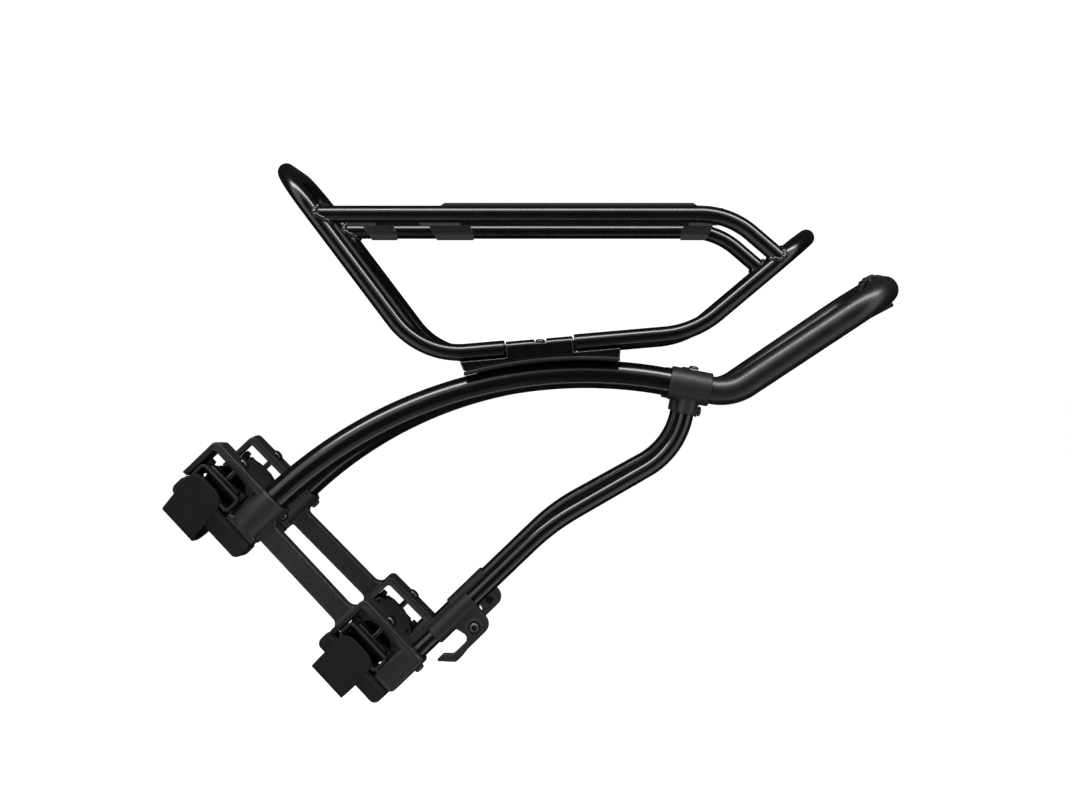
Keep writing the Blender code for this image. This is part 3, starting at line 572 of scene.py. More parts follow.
def screw_head(name, spot, outward, size, shank=0.0, shank_radius=0.0):
    """A button head with a hexagon socket sunk in it."""
    radius, height = size
    profile = [(shank_radius, -shank), (shank_radius, 0)] if shank else []
    profile += [(radius * 0.94, 0), (radius, 0.12 * height), (radius, 0.22 * height)]
    for step in range(1, 10):
        angle = math.pi / 2 * step / 9
        across = radius * math.cos(angle * 0.93)
        profile.append((max(across, 0.08 * MM), height * (0.22 + 0.78 * math.sin(angle))))
    head = turned(name, profile, spot, outward, 48)
    socket_radius = radius * 0.52
    bottom = Vector(spot) + Vector(outward) * height * 0.35
    top = Vector(spot) + Vector(outward) * height * 1.3
    socket = rod("socket", bottom, top, socket_radius, sides=6)
    return combined(head, [socket], "DIFFERENCE")


# ---------------------------------------------------------------- the rack's geometry


def side(x, z, y):
    return Vector((x, y, z))


def bracket_frame():
    down = Vector((math.cos(STAY_ANGLE), 0, -math.sin(STAY_ANGLE))) * math.cos(BRACKET_SPLAY)
    down += Vector((0, -1, 0)) * math.sin(BRACKET_SPLAY)
    away = Vector((math.sin(STAY_ANGLE), 0, math.cos(STAY_ANGLE)))
    made = Matrix((down, away.cross(down), away)).transposed().to_4x4()
    made.translation = Vector((0, -BRACKET_Y, 0))
    return made


BRACKET = bracket_frame()
AWAY = BRACKET.to_3x3() @ Vector((0, 0, 1))
DOWN_STAY = BRACKET.to_3x3() @ Vector((1, 0, 0))
COLLAR_AXIS = Vector((math.cos(COLLAR_TILT), 0, -math.sin(COLLAR_TILT)))
COLLAR_DOWN = Vector((-math.sin(COLLAR_TILT), 0, -math.cos(COLLAR_TILT)))


def bottom_run_z(x):
    slope = (REAR_BEND[1] - FRONT_BEND[1]) / (REAR_BEND[0] - FRONT_BEND[0])
    return FRONT_BEND[1] + slope * (x - FRONT_BEND[0])


def main_arc_radius():
    on_axis = BRACKET @ Vector((UPPER_BOSS_X, 0, 0))
    from_centre = on_axis - side(*ARC_CENTRE, on_axis.y)
    return from_centre.dot(Vector((-math.cos(STAY_ANGLE), 0, math.sin(STAY_ANGLE))))


def on_arch(radius, slope, y):
    x = ARC_CENTRE[0] - radius * math.sin(slope)
    z = ARC_CENTRE[1] + radius * math.cos(slope)
    return side(x, z, y)


MAIN_RADIUS = main_arc_radius()
COLLAR_START = on_arch(MAIN_RADIUS, -COLLAR_TILT, -COLLAR_Y)


def hoop_path(end_x, bend, top, bend_radius):
    spots = ((end_x, bottom_run_z(end_x)), bend, top)
    corners = [side(*spot, -TRACK_Y) for spot in spots]
    corners += [Vector((p.x, -p.y, p.z)) for p in reversed(corners)]
    return rounded(corners, [bend_radius, HOOP_CORNER_RADIUS, HOOP_CORNER_RADIUS, bend_radius])


def rail_path():
    drop = (FRONT_TOP[0] - FRONT_BEND[0]) / (FRONT_TOP[1] - FRONT_BEND[1])
    start_x = FRONT_TOP[0] + drop * (DECK_Z - FRONT_TOP[1])
    spots = ((start_x, DECK_Z), (RAIL_BEND_X, DECK_Z), RAIL_END)
    return rounded([side(*spot, -TRACK_Y) for spot in spots], [RAIL_BEND_RADIUS])


def open_ended(path, radius):
    """A tube's path and radii with its two rims slightly broken."""
    rim = 0.5 * MM
    start = path[0] + (path[1] - path[0]).normalized() * rim
    end = path[-1] + (path[-2] - path[-1]).normalized() * rim
    longer = [path[0], start, *path[1:-1], end, path[-1]]
    radii = [radius - rim, *[radius] * (len(longer) - 2), radius - rim]
    return longer, radii


def meeting_line(rail_start, rail_way, hoop):
    """Where a rail's skin meets a hoop's skin: a ring of points round the rail."""
    across = Vector((0, 1, 0))
    other = rail_way.cross(across)
    ring = []
    for index in range(BEAD_STEPS):
        y, z = polar(SMALL_RADIUS, 2 * math.pi * index / BEAD_STEPS)
        base = rail_start + across * y + other * z
        low, high = 0.0, BEAD_SEARCH
        for _ in range(BEAD_HALVINGS):
            middle = (low + high) / 2
            if distance_to_path(base + rail_way * middle, hoop) < SMALL_RADIUS:
                low = middle
            else:
                high = middle
        ring.append(base + rail_way * low)
    return ring


def distance_to_path(point, path):
    nearest = 1.0
    for one, two in zip(path, path[1:]):
        along = two - one
        share = max(0, min(1, (point - one).dot(along) / along.length_squared))
        nearest = min(nearest, (point - one - along * share).length)
    return nearest


def weld_bead(name, ring):
    """A bead of overlapping puddles along the ring."""
    radii = []
    for index in range(len(ring)):
        wave = abs(math.sin(math.pi * index / PUDDLE_STEPS))
        radii.append(BEAD_RADIUS + PUDDLE_RISE * wave)
    return sweep(name, ring, radii, BEAD_SIDES, closed=True)


def build_platform():
    hoops = {
        "front": hoop_path(TUBE_ENDS_X[0], FRONT_BEND, FRONT_TOP, FRONT_BEND_RADIUS),
        "rear": hoop_path(TUBE_ENDS_X[1], REAR_BEND, REAR_TOP, REAR_BEND_RADIUS),
    }
    for position, path in hoops.items():
        hoop = sweep(f"{position}_hoop_skin", *open_ended(path, SMALL_RADIUS - HOOP_INSET))
        place(hoop, GLOSS, "gloss_black_tube", "platform", f"{position}_hoop_tube", sharp=40)
    rail = rail_path()
    both(sweep("left_deck_rail_skin", rail, SMALL_RADIUS), GLOSS, "gloss_black_tube", "platform",
         "left_deck_rail", sharp=40)
    for position, ends in (("front", rail[:2]), ("rear", rail[:-3:-1])):
        way = (ends[1] - ends[0]).normalized()
        ring = meeting_line(ends[0], way, hoops[position])
        bead = weld_bead(f"left_{position}_weld", ring)
        both(bead, WELD, "gloss_black_tube", "platform")


def build_deck():
    front, rear = PLATE_X
    half = PLATE_HALF_WIDTH
    corners = [(front, -half), (rear, -half), (rear, half), (front, half)]
    outline = rounded_loop(corners, [PLATE_CORNER_RADIUS] * 4)
    centre = Matrix.Translation((0, 0, sum(PLATE_Z) / 2))
    deck = plate("deck_plate_skin", [outline], PLATE_Z[1] - PLATE_Z[0], centre, 0.8 * MM)
    place(deck, PLASTIC, "matt_black_plastic", "platform", "deck_plate", sharp=40)

    front, rear = BAG_TRACK_X
    floor = PLATE_Z[1] + GAP
    lip = floor + 2 * MM
    foot_half = BAG_TRACK_HALF_WIDTH - BAG_TRACK_GROOVE
    taper = BAG_TRACK_END_BEVEL * (lip - floor) / (BAG_TRACK_TOP - floor)
    foot = [(front, floor), (rear, floor), (rear - taper, lip + MM), (front + taper, lip + MM)]
    head = [
        (front + taper, lip), (rear - taper, lip), (rear - BAG_TRACK_END_BEVEL, BAG_TRACK_TOP),
        (front + BAG_TRACK_END_BEVEL, BAG_TRACK_TOP),
    ]
    track = plate("bag_track_skin", [head], 2 * BAG_TRACK_HALF_WIDTH, SIDE_VIEW, 0.5 * MM)
    track = combined(track, [plate("foot", [foot], 2 * foot_half, SIDE_VIEW)], "UNION")
    place(track, PLASTIC, "matt_black_plastic", "platform", "bag_track", sharp=40)


def deck_clip(position):
    """Hugs the rail from inside; its ends are cut back below."""
    centre, length = CLIPS[position]
    inner, outer = SMALL_RADIUS - GAP, SMALL_RADIUS + GAP + CLIP_THICKNESS
    top, bottom = 4.5 * MM, -3 * MM
    ledge = PLATE_Z[0] - DECK_Z - GAP
    edge = TRACK_Y - PLATE_HALF_WIDTH - GAP
    outline = [(edge + 5 * MM, bottom), (edge + 5 * MM, ledge), (edge, ledge), (edge, top)]
    outline.append(polar(outer, math.asin(top / outer)))
    for start, end, radius, steps in ((55, -60, inner, 16), (-60, -22, outer, 8)):
        for step in range(steps + 1):
            outline.append(polar(radius, math.radians(start + (end - start) * step / steps)))
    matrix = Matrix.Translation((centre, -TRACK_Y, DECK_Z)) @ END_VIEW
    clip = plate(f"left_{position}_clip_skin", [outline], length, matrix, 0.25 * MM)
    cutters = []
    lean = -1 if position == "rear" else 1
    for sign in (-1, 1):
        corner = centre + sign * length / 2
        rise = 9 * MM if sign == lean else -9 * MM
        wedge = [
            (corner + sign * MM, -rise / 2),
            (corner - sign * 5 * MM, rise),
            (corner + sign * 9 * MM, rise),
        ]
        spot = Matrix.Translation((0, -TRACK_Y + 8 * MM, DECK_Z)) @ SIDE_VIEW
        cutters.append(plate("wedge", [wedge], 40 * MM, spot))
    cutters.append(sweep("bed", rail_path(), SMALL_RADIUS + 0.1 * MM))
    return combined(clip, cutters, "DIFFERENCE")


def foot_arc(radius, ends, steps=48):
    """Points in side view on an arc over the main tube, from one x to another."""
    start, end = (math.asin((ARC_CENTRE[0] - x) / radius) for x in ends)
    points = [on_arch(radius, start + (end - start) * step / steps, 0) for step in range(steps + 1)]
    return [(point.x, point.z) for point in points]


def build_joiner():
    front, rear = JOINER_X
    middle_y = sum(JOINER_Y) / 2
    width = JOINER_Y[1] - JOINER_Y[0]
    lip = SMALL_RADIUS + GAP
    tube_front, tube_rear = TUBE_ENDS_X[0] + TUBE_END_GAP, TUBE_ENDS_X[1] - TUBE_END_GAP
    foot_radius = MAIN_RADIUS + LARGE_RADIUS + LINER_THICKNESS + 2 * GAP
    outline = [(front, bottom_run_z(front) - lip), (rear, bottom_run_z(rear) - lip)]
    outline += foot_arc(foot_radius, JOINER_FOOT_X[::-1])
    spot = Matrix.Translation((0, middle_y, 0)) @ SIDE_VIEW
    body = plate("left_joiner_skin", [outline], width, spot, 0.6 * MM)
    ends = [Vector((x, middle_y, bottom_run_z(x))) for x in (tube_front, tube_rear)]
    way = (ends[1] - ends[0]).normalized()
    up = way.cross(Vector((0, 1, 0)))
    along = Matrix((Vector((0, 1, 0)), up, way)).transposed().to_4x4()
    along.translation = (ends[0] + ends[1]) / 2
    half, low = width / 2, -(lip + 2 * MM)
    section = rounded_loop(
        [(-half, low), (half, low), (half, JOINER_TOP), (-half, JOINER_TOP)],
        [0.5 * MM, 0.5 * MM, 4.2 * MM, 4.2 * MM],
    )
    bar = plate("bar", [section], (ends[1] - ends[0]).length, along, 0.3 * MM)
    floor = bottom_run_z(NOTCH_X) + JOINER_TOP - NOTCH_DEPTH
    notch = box(
        "notch", (NOTCH_X - NOTCH_HALF_LENGTH, JOINER_Y[0] - MM, floor),
        (NOTCH_X + NOTCH_HALF_LENGTH, JOINER_Y[1] + MM, floor + 9 * MM),
    )
    body = moulded(body, [bar], [notch], COARSE_VOXEL, 3)
    both(body, GLOSS, "satin_black_casting", "platform", "left_joiner_block")
    seat = (NOTCH_X, middle_y, floor + GAP)
    bolt = screw_head("left_joiner_bolt_head", seat, (0, 0, 1), SMALL_HEAD, 4 * MM, SMALL_SHANK_RADIUS)
    both(bolt, STEEL, "blackened_steel", "platform", "left_joiner_bolt", sharp=35)

    inner = MAIN_RADIUS + LARGE_RADIUS + GAP
    outline = foot_arc(inner + LINER_THICKNESS, JOINER_FOOT_X)
    outline += foot_arc(inner, JOINER_FOOT_X[::-1])
    liner = plate("left_liner_skin", [outline], width - 0.8 * MM, spot, 0.9 * MM)
    both(liner, PLASTIC, "matt_black_plastic", "platform", "left_joiner_liner", sharp=50)


def window_frame(centre_x, boss_x, inset=0.0):
    toward = 1 if boss_x > centre_x else -1
    inside = centre_x - toward * WINDOW_HALF_LENGTH
    outside = inside - toward * FRAME_WALL
    corners = [
        (outside, FRAME_Z[0]), (outside, FRAME_Z[1]), (boss_x, FRAME_Z[1]),
        (boss_x, TOP_BAR_Z + inset), (inside - toward * inset, TOP_BAR_Z + inset),
        (inside - toward * inset, FRAME_Z[0]),
    ]
    return rounded_loop(corners, [0, 4 * MM, 0, 0, 2 * MM, 0])


def build_bracket():
    spot = BRACKET @ SIDE_VIEW
    depth = 2 * FRAME_HALF_DEPTH
    body = plate("left_bracket_skin", [window_frame(-CLAMP_X, UPPER_BOSS_X)], depth, spot, 0.9 * MM)
    added = [plate("lower_frame", [window_frame(CLAMP_X, LOWER_BOSS_X)], depth, spot, 0.9 * MM)]
    for centre_x, boss_x in ((-CLAMP_X, UPPER_BOSS_X), (CLAMP_X, LOWER_BOSS_X)):
        rim = window_frame(centre_x, boss_x, 2.2 * MM)
        added.append(plate("rim", [rim], depth + 1.3 * MM, spot, 0.4 * MM))
    left, right = UPPER_BOSS_X + UPPER_BOSS_RADIUS, CLAMP_X - WINDOW_HALF_LENGTH - FRAME_WALL
    low, high = ARM_Z
    corners = [
        (UPPER_BOSS_X, high + 3 * MM), (left, high + 3 * MM), (left, high), (right, high),
        (right, high + 6 * MM), (right + 2 * MM, high + 6 * MM), (right + 2 * MM, low - 4.5 * MM),
        (right, low - 4.5 * MM), (right, low), (left, low), (left, low - MM), (UPPER_BOSS_X, low - MM),
    ]
    radii = [0, 0, 3 * MM, 6 * MM, 0, 0, 0, 0, 4.4 * MM, MM, 0, 0]
    added.append(plate("arm", [rounded_loop(corners, radii)], 2 * ARM_HALF_DEPTH, spot, 0.8 * MM))
    bottom, top = FRAME_Z[0] + 2.8 * MM, FRAME_Z[1] + 0.4 * MM
    boss_ends = ((UPPER_BOSS_X, 0, bottom), (UPPER_BOSS_X, 0, top))
    added.append(rod("boss", *boss_ends, UPPER_BOSS_RADIUS, BRACKET, 0.5 * MM, FINE_SIDES))
    block_low = (LOWER_BOSS_X - 9 * MM, -10.3 * MM, FRAME_Z[0] + 0.3 * MM)
    block_high = (LOWER_BOSS_X + LOWER_BOSS_RADIUS, 10.3 * MM, top)
    added.append(box("block", block_low, block_high, BRACKET, 2.8 * MM))
    for ends in (
        (-CLAMP_X + WINDOW_HALF_LENGTH, UPPER_PAD_X[1]),
        (CLAMP_X + WINDOW_HALF_LENGTH, LOWER_PAD_X[1]),
    ):
        low_corner = (ends[0], -PAD_HALF_DEPTH, FRAME_Z[0])
        high_corner = (ends[1], PAD_HALF_DEPTH, bottom + MM)
        added.append(box("foot", low_corner, high_corner, BRACKET, 0.6 * MM))
    for x, z in SOCKET_BOLTS.values():
        seat_ends = ((x - 4 * MM, 0, z), (x + 0.1 * MM, 0, z))
        added.append(rod("bolt_seat", *seat_ends, 4.2 * MM, BRACKET, 0.3 * MM))
    removed = []
    for x, radius in ((UPPER_BOSS_X, LARGE_RADIUS), (LOWER_BOSS_X, SMALL_RADIUS)):
        ends = ((x, 0, SOCKET_FLOOR_Z), (x, 0, FRAME_Z[1] + 9 * MM))
        removed.append(rod("socket", *ends, radius + SOCKET_CLEARANCE, BRACKET, sides=FINE_SIDES))
    body = moulded(body, added, removed, COARSE_VOXEL, 4)
    both(body, CASTING, "satin_black_casting", "frame", "left_stay_bracket")


SOCKET_BOLTS = {
    "upper": (UPPER_BOSS_X + UPPER_BOSS_RADIUS, 47.9 * MM),
    "lower": (LOWER_BOSS_X + LOWER_BOSS_RADIUS, 45.3 * MM),
}


def build_cradle(position, ends, low):
    """The rubber cradle: a thick pad with a V groove, and a thinner waist below the bracket."""
    spot = BRACKET @ SIDE_VIEW
    waist = PAD_TOP - 2.4 * MM
    corners = [(ends[0], low), (ends[1], low), (ends[1], waist), (ends[0], waist)]
    outline = rounded_loop(corners, [4.6 * MM, 4.6 * MM, 0.8 * MM, 0.8 * MM])
    pad = plate(f"left_{position}_cradle_skin", [outline], 2 * PAD_HALF_DEPTH, spot, 0.7 * MM)
    inset = 0.9 * MM
    neck = box(
        "neck", (ends[0] + inset, -PAD_HALF_DEPTH + inset, waist - MM),
        (ends[1] - inset, PAD_HALF_DEPTH - inset, PAD_TOP), BRACKET,
    )
    wing = PAD_HALF_DEPTH + MM
    rise, flat_half = 2.2 * MM, 3.5 * MM
    flat = low + rise
    drop = flat - rise / (PAD_HALF_DEPTH - flat_half) * (wing - flat_half)
    groove = [
        (-wing, drop), (-wing, drop - 3 * MM), (wing, drop - 3 * MM),
        (wing, drop), (flat_half, flat), (-flat_half, flat),
    ]
    middle = BRACKET @ Matrix.Translation((sum(ends) / 2, 0, 0)) @ END_VIEW
    cutter = plate("groove", [groove], ends[1] - ends[0] + 4 * MM, middle)
    pad = moulded(pad, [neck], [cutter], COARSE_VOXEL, 3)
    both(pad, RUBBER, "black_rubber", "frame", f"left_{position}_cradle_pad")


def build_carriage(position, x):
    """The buckle: a rounded sleeve with teeth inside, a nut plate on top and guide tabs."""
    spot = BRACKET @ SIDE_VIEW
    loops = []
    for inset, radius in ((0, 3.4 * MM), (CARRIAGE_WALL, 1.8 * MM)):
        reach = CARRIAGE_HALF_LENGTH - inset
        low, high = CARRIAGE_Z[0] + inset, CARRIAGE_Z[1] - inset
        corners = [(x - reach, low), (x + reach, low), (x + reach, high), (x - reach, high)]
        loops.append(rounded_loop(corners, [radius] * 4, math.radians(7)))
    sleeve = plate(f"left_{position}_carriage_skin", loops, 2 * FRAME_HALF_DEPTH, spot, 0.7 * MM)
    body = f"left_{position}_clamp"
    both(sleeve, PLASTIC, "matt_black_plastic", body, f"left_{position}_carriage", sharp=40)
    inside = CARRIAGE_HALF_LENGTH - CARRIAGE_WALL
    low, high = CARRIAGE_Z[0] + CARRIAGE_WALL, CARRIAGE_Z[1] - CARRIAGE_WALL
    root, tip = low + 4.6 * MM, low + 2.6 * MM
    comb = [(x + inside, high - 0.1 * MM), (x - inside, high - 0.1 * MM)]
    pitch = 2 * inside / TEETH
    for tooth in range(TEETH):
        start = x - inside + tooth * pitch
        comb += [(start, root), (start + pitch * 0.5, tip)]
    comb.append((x + inside, root))
    beside = BRACKET @ Matrix.Translation((0, TEETH_Y, 0)) @ SIDE_VIEW
    teeth = plate(f"left_{position}_teeth", [comb], TEETH_WIDTH, beside)
    both(teeth, PLASTIC, "matt_black_plastic", body, sharp=30)
    reach, half = NUT_PLATE_HALF
    top = CARRIAGE_Z[1]
    nut = box(
        f"left_{position}_nut_plate", (x - reach, -half, top - 0.1 * MM),
        (x + reach, half, top + 1.9 * MM), BRACKET, 0.4 * MM,
    )
    both(nut, STEEL, "blackened_steel", body, sharp=40)
    tabs = []
    for end, sign in (("front", -1), ("rear", 1)):
        near, far = sorted(x + sign * offset for offset in GUIDE_X)
        low_corner = (near, -GUIDE_HALF_WIDTH, top - 2.4 * MM)
        high_corner = (far, GUIDE_HALF_WIDTH, top + 3.4 * MM)
        name = f"left_{position}_guide_{end}"
        tabs.append(box(name, low_corner, high_corner, BRACKET, 0.9 * MM))
    for tab in tabs:
        both(tab, PLASTIC, "matt_black_plastic", body, sharp=40)


def build_strap(position, x, fold_z):
    """A rubber band with rounded ends, folded under the cradle."""
    corners = [
        (STRAP_INNER_Y, STRAP_TOP_Z, 0), (STRAP_INNER_Y, fold_z, 0),
        (STRAP_FOLD_Y, fold_z, 0), (*STRAP_FREE_END, 0),
    ]
    line = rounded(corners, STRAP_FOLD_RADII, math.radians(6))
    dense = [line[0]]
    for one, two in zip(line, line[1:]):
        steps = max(1, round((two - one).length / STRAP_ROW_STEP))
        for step in range(1, steps + 1):
            dense.append(one.lerp(two, step / steps))
    lengths = [0.0]
    for one, two in zip(dense, dense[1:]):
        lengths.append(lengths[-1] + (two - one).length)
    shape = bmesh.new()
    rows = []
    half, corner = STRAP_WIDTH / 2, STRAP_END_RADIUS
    columns = range(STRAP_COLUMNS + 1)
    shares = [math.sin(math.pi / 2 * (2 * index / STRAP_COLUMNS - 1)) for index in columns]
    for point, length in zip(dense, lengths):
        from_end = min(length, lengths[-1] - length)
        reach = half
        if from_end < corner:
            reach = half - corner + math.sqrt(max(0, corner ** 2 - (corner - from_end) ** 2))
        spots = [Vector((x + reach * share, point.x, point.y)) for share in shares]
        rows.append([shape.verts.new(BRACKET @ spot) for spot in spots])
    for one, two in zip(rows, rows[1:]):
        for index in range(STRAP_COLUMNS):
            shape.faces.new((one[index], one[index + 1], two[index + 1], two[index]))
    band = new_object(f"left_{position}_strap_skin", shape)
    thick = band.modifiers.new("Thick", "SOLIDIFY")
    thick.thickness = STRAP_THICKNESS
    thick.offset = 0
    thick.use_even_offset = True
    edges = band.modifiers.new("Edges", "BEVEL")
    edges.width = 0.5 * MM
    edges.segments = 3
    edges.limit_method = "ANGLE"
    edges.angle_limit = math.radians(50)
    band = baked(band)
    both(band, RUBBER, "black_rubber", f"left_{position}_clamp", f"left_{position}_strap", sharp=50)


def build_tension_screw(position, x):
    spot = BRACKET @ Vector((x, 0, FRAME_Z[1] + GAP))
    shank = (TENSION_SHANK_LENGTH, TENSION_SHANK_RADIUS)
    head = screw_head(f"left_{position}_tension_skin", spot, AWAY, BUTTON_HEAD, *shank)
    both(head, STEEL, "blackened_steel", f"left_{position}_screw",
         f"left_{position}_tension_screw", sharp=35)


def build_socket_bolt(position, x, z):
    spot = BRACKET @ Vector((x + 0.1 * MM, 0, z))
    head = screw_head(f"left_{position}_socket_bolt_skin", spot, DOWN_STAY, SMALL_HEAD)
    both(head, STEEL, "blackened_steel", "frame", f"left_{position}_socket_bolt", sharp=35)


def main_tube_path():
    start = BRACKET @ Vector((UPPER_BOSS_X, 0, SOCKET_FLOOR_Z + GAP))
    climb = math.pi / 2 - STAY_ANGLE
    path = [start]
    steps = 60
    for step in range(steps + 1):
        share = step / steps
        slope = climb + (-COLLAR_TILT - climb) * share
        path.append(on_arch(MAIN_RADIUS, slope, start.y + (-COLLAR_Y - start.y) * share))
    path.append(path[-1] + COLLAR_AXIS * (COLLAR_LENGTH / 2 - GAP))
    return path


def lower_stay_path():
    start = BRACKET @ Vector((LOWER_BOSS_X, 0, SOCKET_FLOOR_Z + GAP))
    climb = Vector((math.sin(STAY_ANGLE), 0, math.cos(STAY_ANGLE)))
    first = start + climb * ((STAY_FIRST_BEND_X - start.x) / climb.x)
    end = COLLAR_START + COLLAR_AXIS * STAY_SOCKET_OFFSET + COLLAR_DOWN * (STAY_SOCKET_FLOOR + GAP)
    second = end + COLLAR_DOWN * (STAY_SECOND_BEND_DROP - STAY_SOCKET_FLOOR)
    return rounded([start, first, second, end], [STAY_FIRST_BEND_RADIUS, STAY_SECOND_BEND_RADIUS])


def handle_corner():
    bend = COLLAR_START + COLLAR_AXIS * ((HANDLE_BEND_X - COLLAR_START.x) / COLLAR_AXIS.x)
    x, z = polar(HANDLE_LENGTH, HANDLE_RISE)
    return bend, Vector((bend.x + x, -HANDLE_HALF_WIDTH, bend.z + z))


def build_frame_tubes():
    main = sweep("left_main_tube_skin", main_tube_path(), LARGE_RADIUS, WIDE_TUBE_SIDES)
    both(main, GLOSS, "gloss_black_tube", "frame", "left_main_tube", sharp=40)
    stay = sweep("left_lower_stay_skin", lower_stay_path(), SMALL_RADIUS)
    both(stay, GLOSS, "gloss_black_tube", "frame", "left_lower_stay", sharp=40)
    bend, end = handle_corner()
    left = [COLLAR_START + COLLAR_AXIS * (COLLAR_LENGTH / 2 + GAP), bend, end]
    right = [Vector((p.x, -p.y, p.z)) for p in reversed(left)]
    radii = [HANDLE_BEND_RADIUS, HANDLE_CORNER_RADIUS, HANDLE_CORNER_RADIUS, HANDLE_BEND_RADIUS]
    path = rounded(left + right, radii)
    handle = sweep("rear_handle_skin", path, LARGE_RADIUS, WIDE_TUBE_SIDES)
    place(handle, SATIN, "satin_black_tube", "frame", "rear_handle_tube", sharp=40)


def build_collar():
    start, end = COLLAR_START, COLLAR_START + COLLAR_AXIS * COLLAR_LENGTH
    middle = start + COLLAR_AXIS * STAY_SOCKET_OFFSET
    bottom = middle + COLLAR_DOWN * STAY_SOCKET_END
    body = rod("left_collar_skin", start, end, COLLAR_RADIUS, None, 0.5 * MM, FINE_SIDES)
    added = [rod("socket", middle, bottom, STAY_SOCKET_RADIUS, None, 0.4 * MM)]
    top = middle - COLLAR_DOWN * COLLAR_RADIUS
    added.append(rod("seat", middle, top, 4.3 * MM, None, 0.2 * MM))
    lug = middle + COLLAR_DOWN * 15 * MM
    added.append(rod("lug", lug, lug + COLLAR_AXIS * STAY_SOCKET_RADIUS, 4 * MM, None, 0.2 * MM))
    removed = [
        rod("bore", start - COLLAR_AXIS * MM, end + COLLAR_AXIS * MM,
            LARGE_RADIUS + SOCKET_CLEARANCE, sides=FINE_SIDES),
        rod("stay_bore", middle + COLLAR_DOWN * STAY_SOCKET_FLOOR, bottom + COLLAR_DOWN * MM,
            SMALL_RADIUS + SOCKET_CLEARANCE),
    ]
    body = moulded(body, added, removed, MIDDLE_VOXEL, 3)
    both(body, CASTING, "satin_black_casting", "frame", "left_rear_collar")
    bolt = screw_head("left_collar_bolt_skin", top - COLLAR_DOWN * GAP, -COLLAR_DOWN, SMALL_HEAD)
    both(bolt, STEEL, "blackened_steel", "frame", "left_collar_bolt", sharp=35)
    behind = lug + COLLAR_AXIS * (STAY_SOCKET_RADIUS + GAP)
    bolt = screw_head("left_collar_stay_bolt_skin", behind, COLLAR_AXIS, SMALL_HEAD)
    both(bolt, STEEL, "blackened_steel", "frame", "left_collar_stay_bolt", sharp=35)


def build_hook():
    """The hook's outline is in millimetres from the stay's axis."""
    low, high = HOOK_Z
    corners = [
        (0, 100), (20.7, 97.5), (20.9, 76), (21.7, 70), (21.7, 65.2), (13, 56.8),
        (12, 58.2), (12, 62.9), (16.6, 67.6), (16.6, 82.2), (7, 79.6), (0, 79.6),
    ]
    radii = [0, 7, 0, 0, 2.4, 0.6, 0.6, 1, 2.5, 3.4, 0, 0]
    corners = [(x * MM + LOWER_BOSS_X, z * MM) for x, z in corners]
    outline = rounded_loop(corners, [radius * MM for radius in radii])
    spot = BRACKET @ SIDE_VIEW
    body = plate("left_hook_skin", [outline], 2 * HOOK_HALF_DEPTH, spot, 0.8 * MM)
    x, z = HOOK_BOLT[0] + LOWER_BOSS_X, HOOK_BOLT[1]
    ends = ((LOWER_BOSS_X, 0, low), (LOWER_BOSS_X, 0, high))
    added = [rod("sleeve", *ends, HOOK_SLEEVE_RADIUS, BRACKET, 0.4 * MM, WIDE_TUBE_SIDES)]
    reach = HOOK_HALF_DEPTH + 0.5 * MM
    added.append(rod("ring", (x, -reach, z), (x, reach, z), 5 * MM, BRACKET, 0.2 * MM))
    removed = [rod("bore", (LOWER_BOSS_X, 0, low - MM), (LOWER_BOSS_X, 0, high + MM),
                   SMALL_RADIUS + SOCKET_CLEARANCE, BRACKET, sides=WIDE_TUBE_SIDES)]
    removed.append(rod("recess", (x, -reach - MM, z), (x, -HOOK_HALF_DEPTH, z), 4.1 * MM, BRACKET))
    removed.append(rod("hole", (x, -reach, z), (x, reach + MM, z), 2.2 * MM, BRACKET))
    body = moulded(body, added, removed, MIDDLE_VOXEL, 3)
    both(body, PLASTIC, "matt_black_plastic", "left_hook", "left_stay_hook")
    spot = BRACKET @ Vector((x, -HOOK_HALF_DEPTH - GAP, z))
    outward = BRACKET.to_3x3() @ Vector((0, -1, 0))
    shank = (2 * HOOK_HALF_DEPTH + 1.5 * MM, SMALL_SHANK_RADIUS)
    bolt = screw_head("left_hook_bolt_skin", spot, outward, SMALL_HEAD, *shank)
    both(bolt, STEEL, "blackened_steel", "left_hook", "left_hook_bolt", sharp=35)


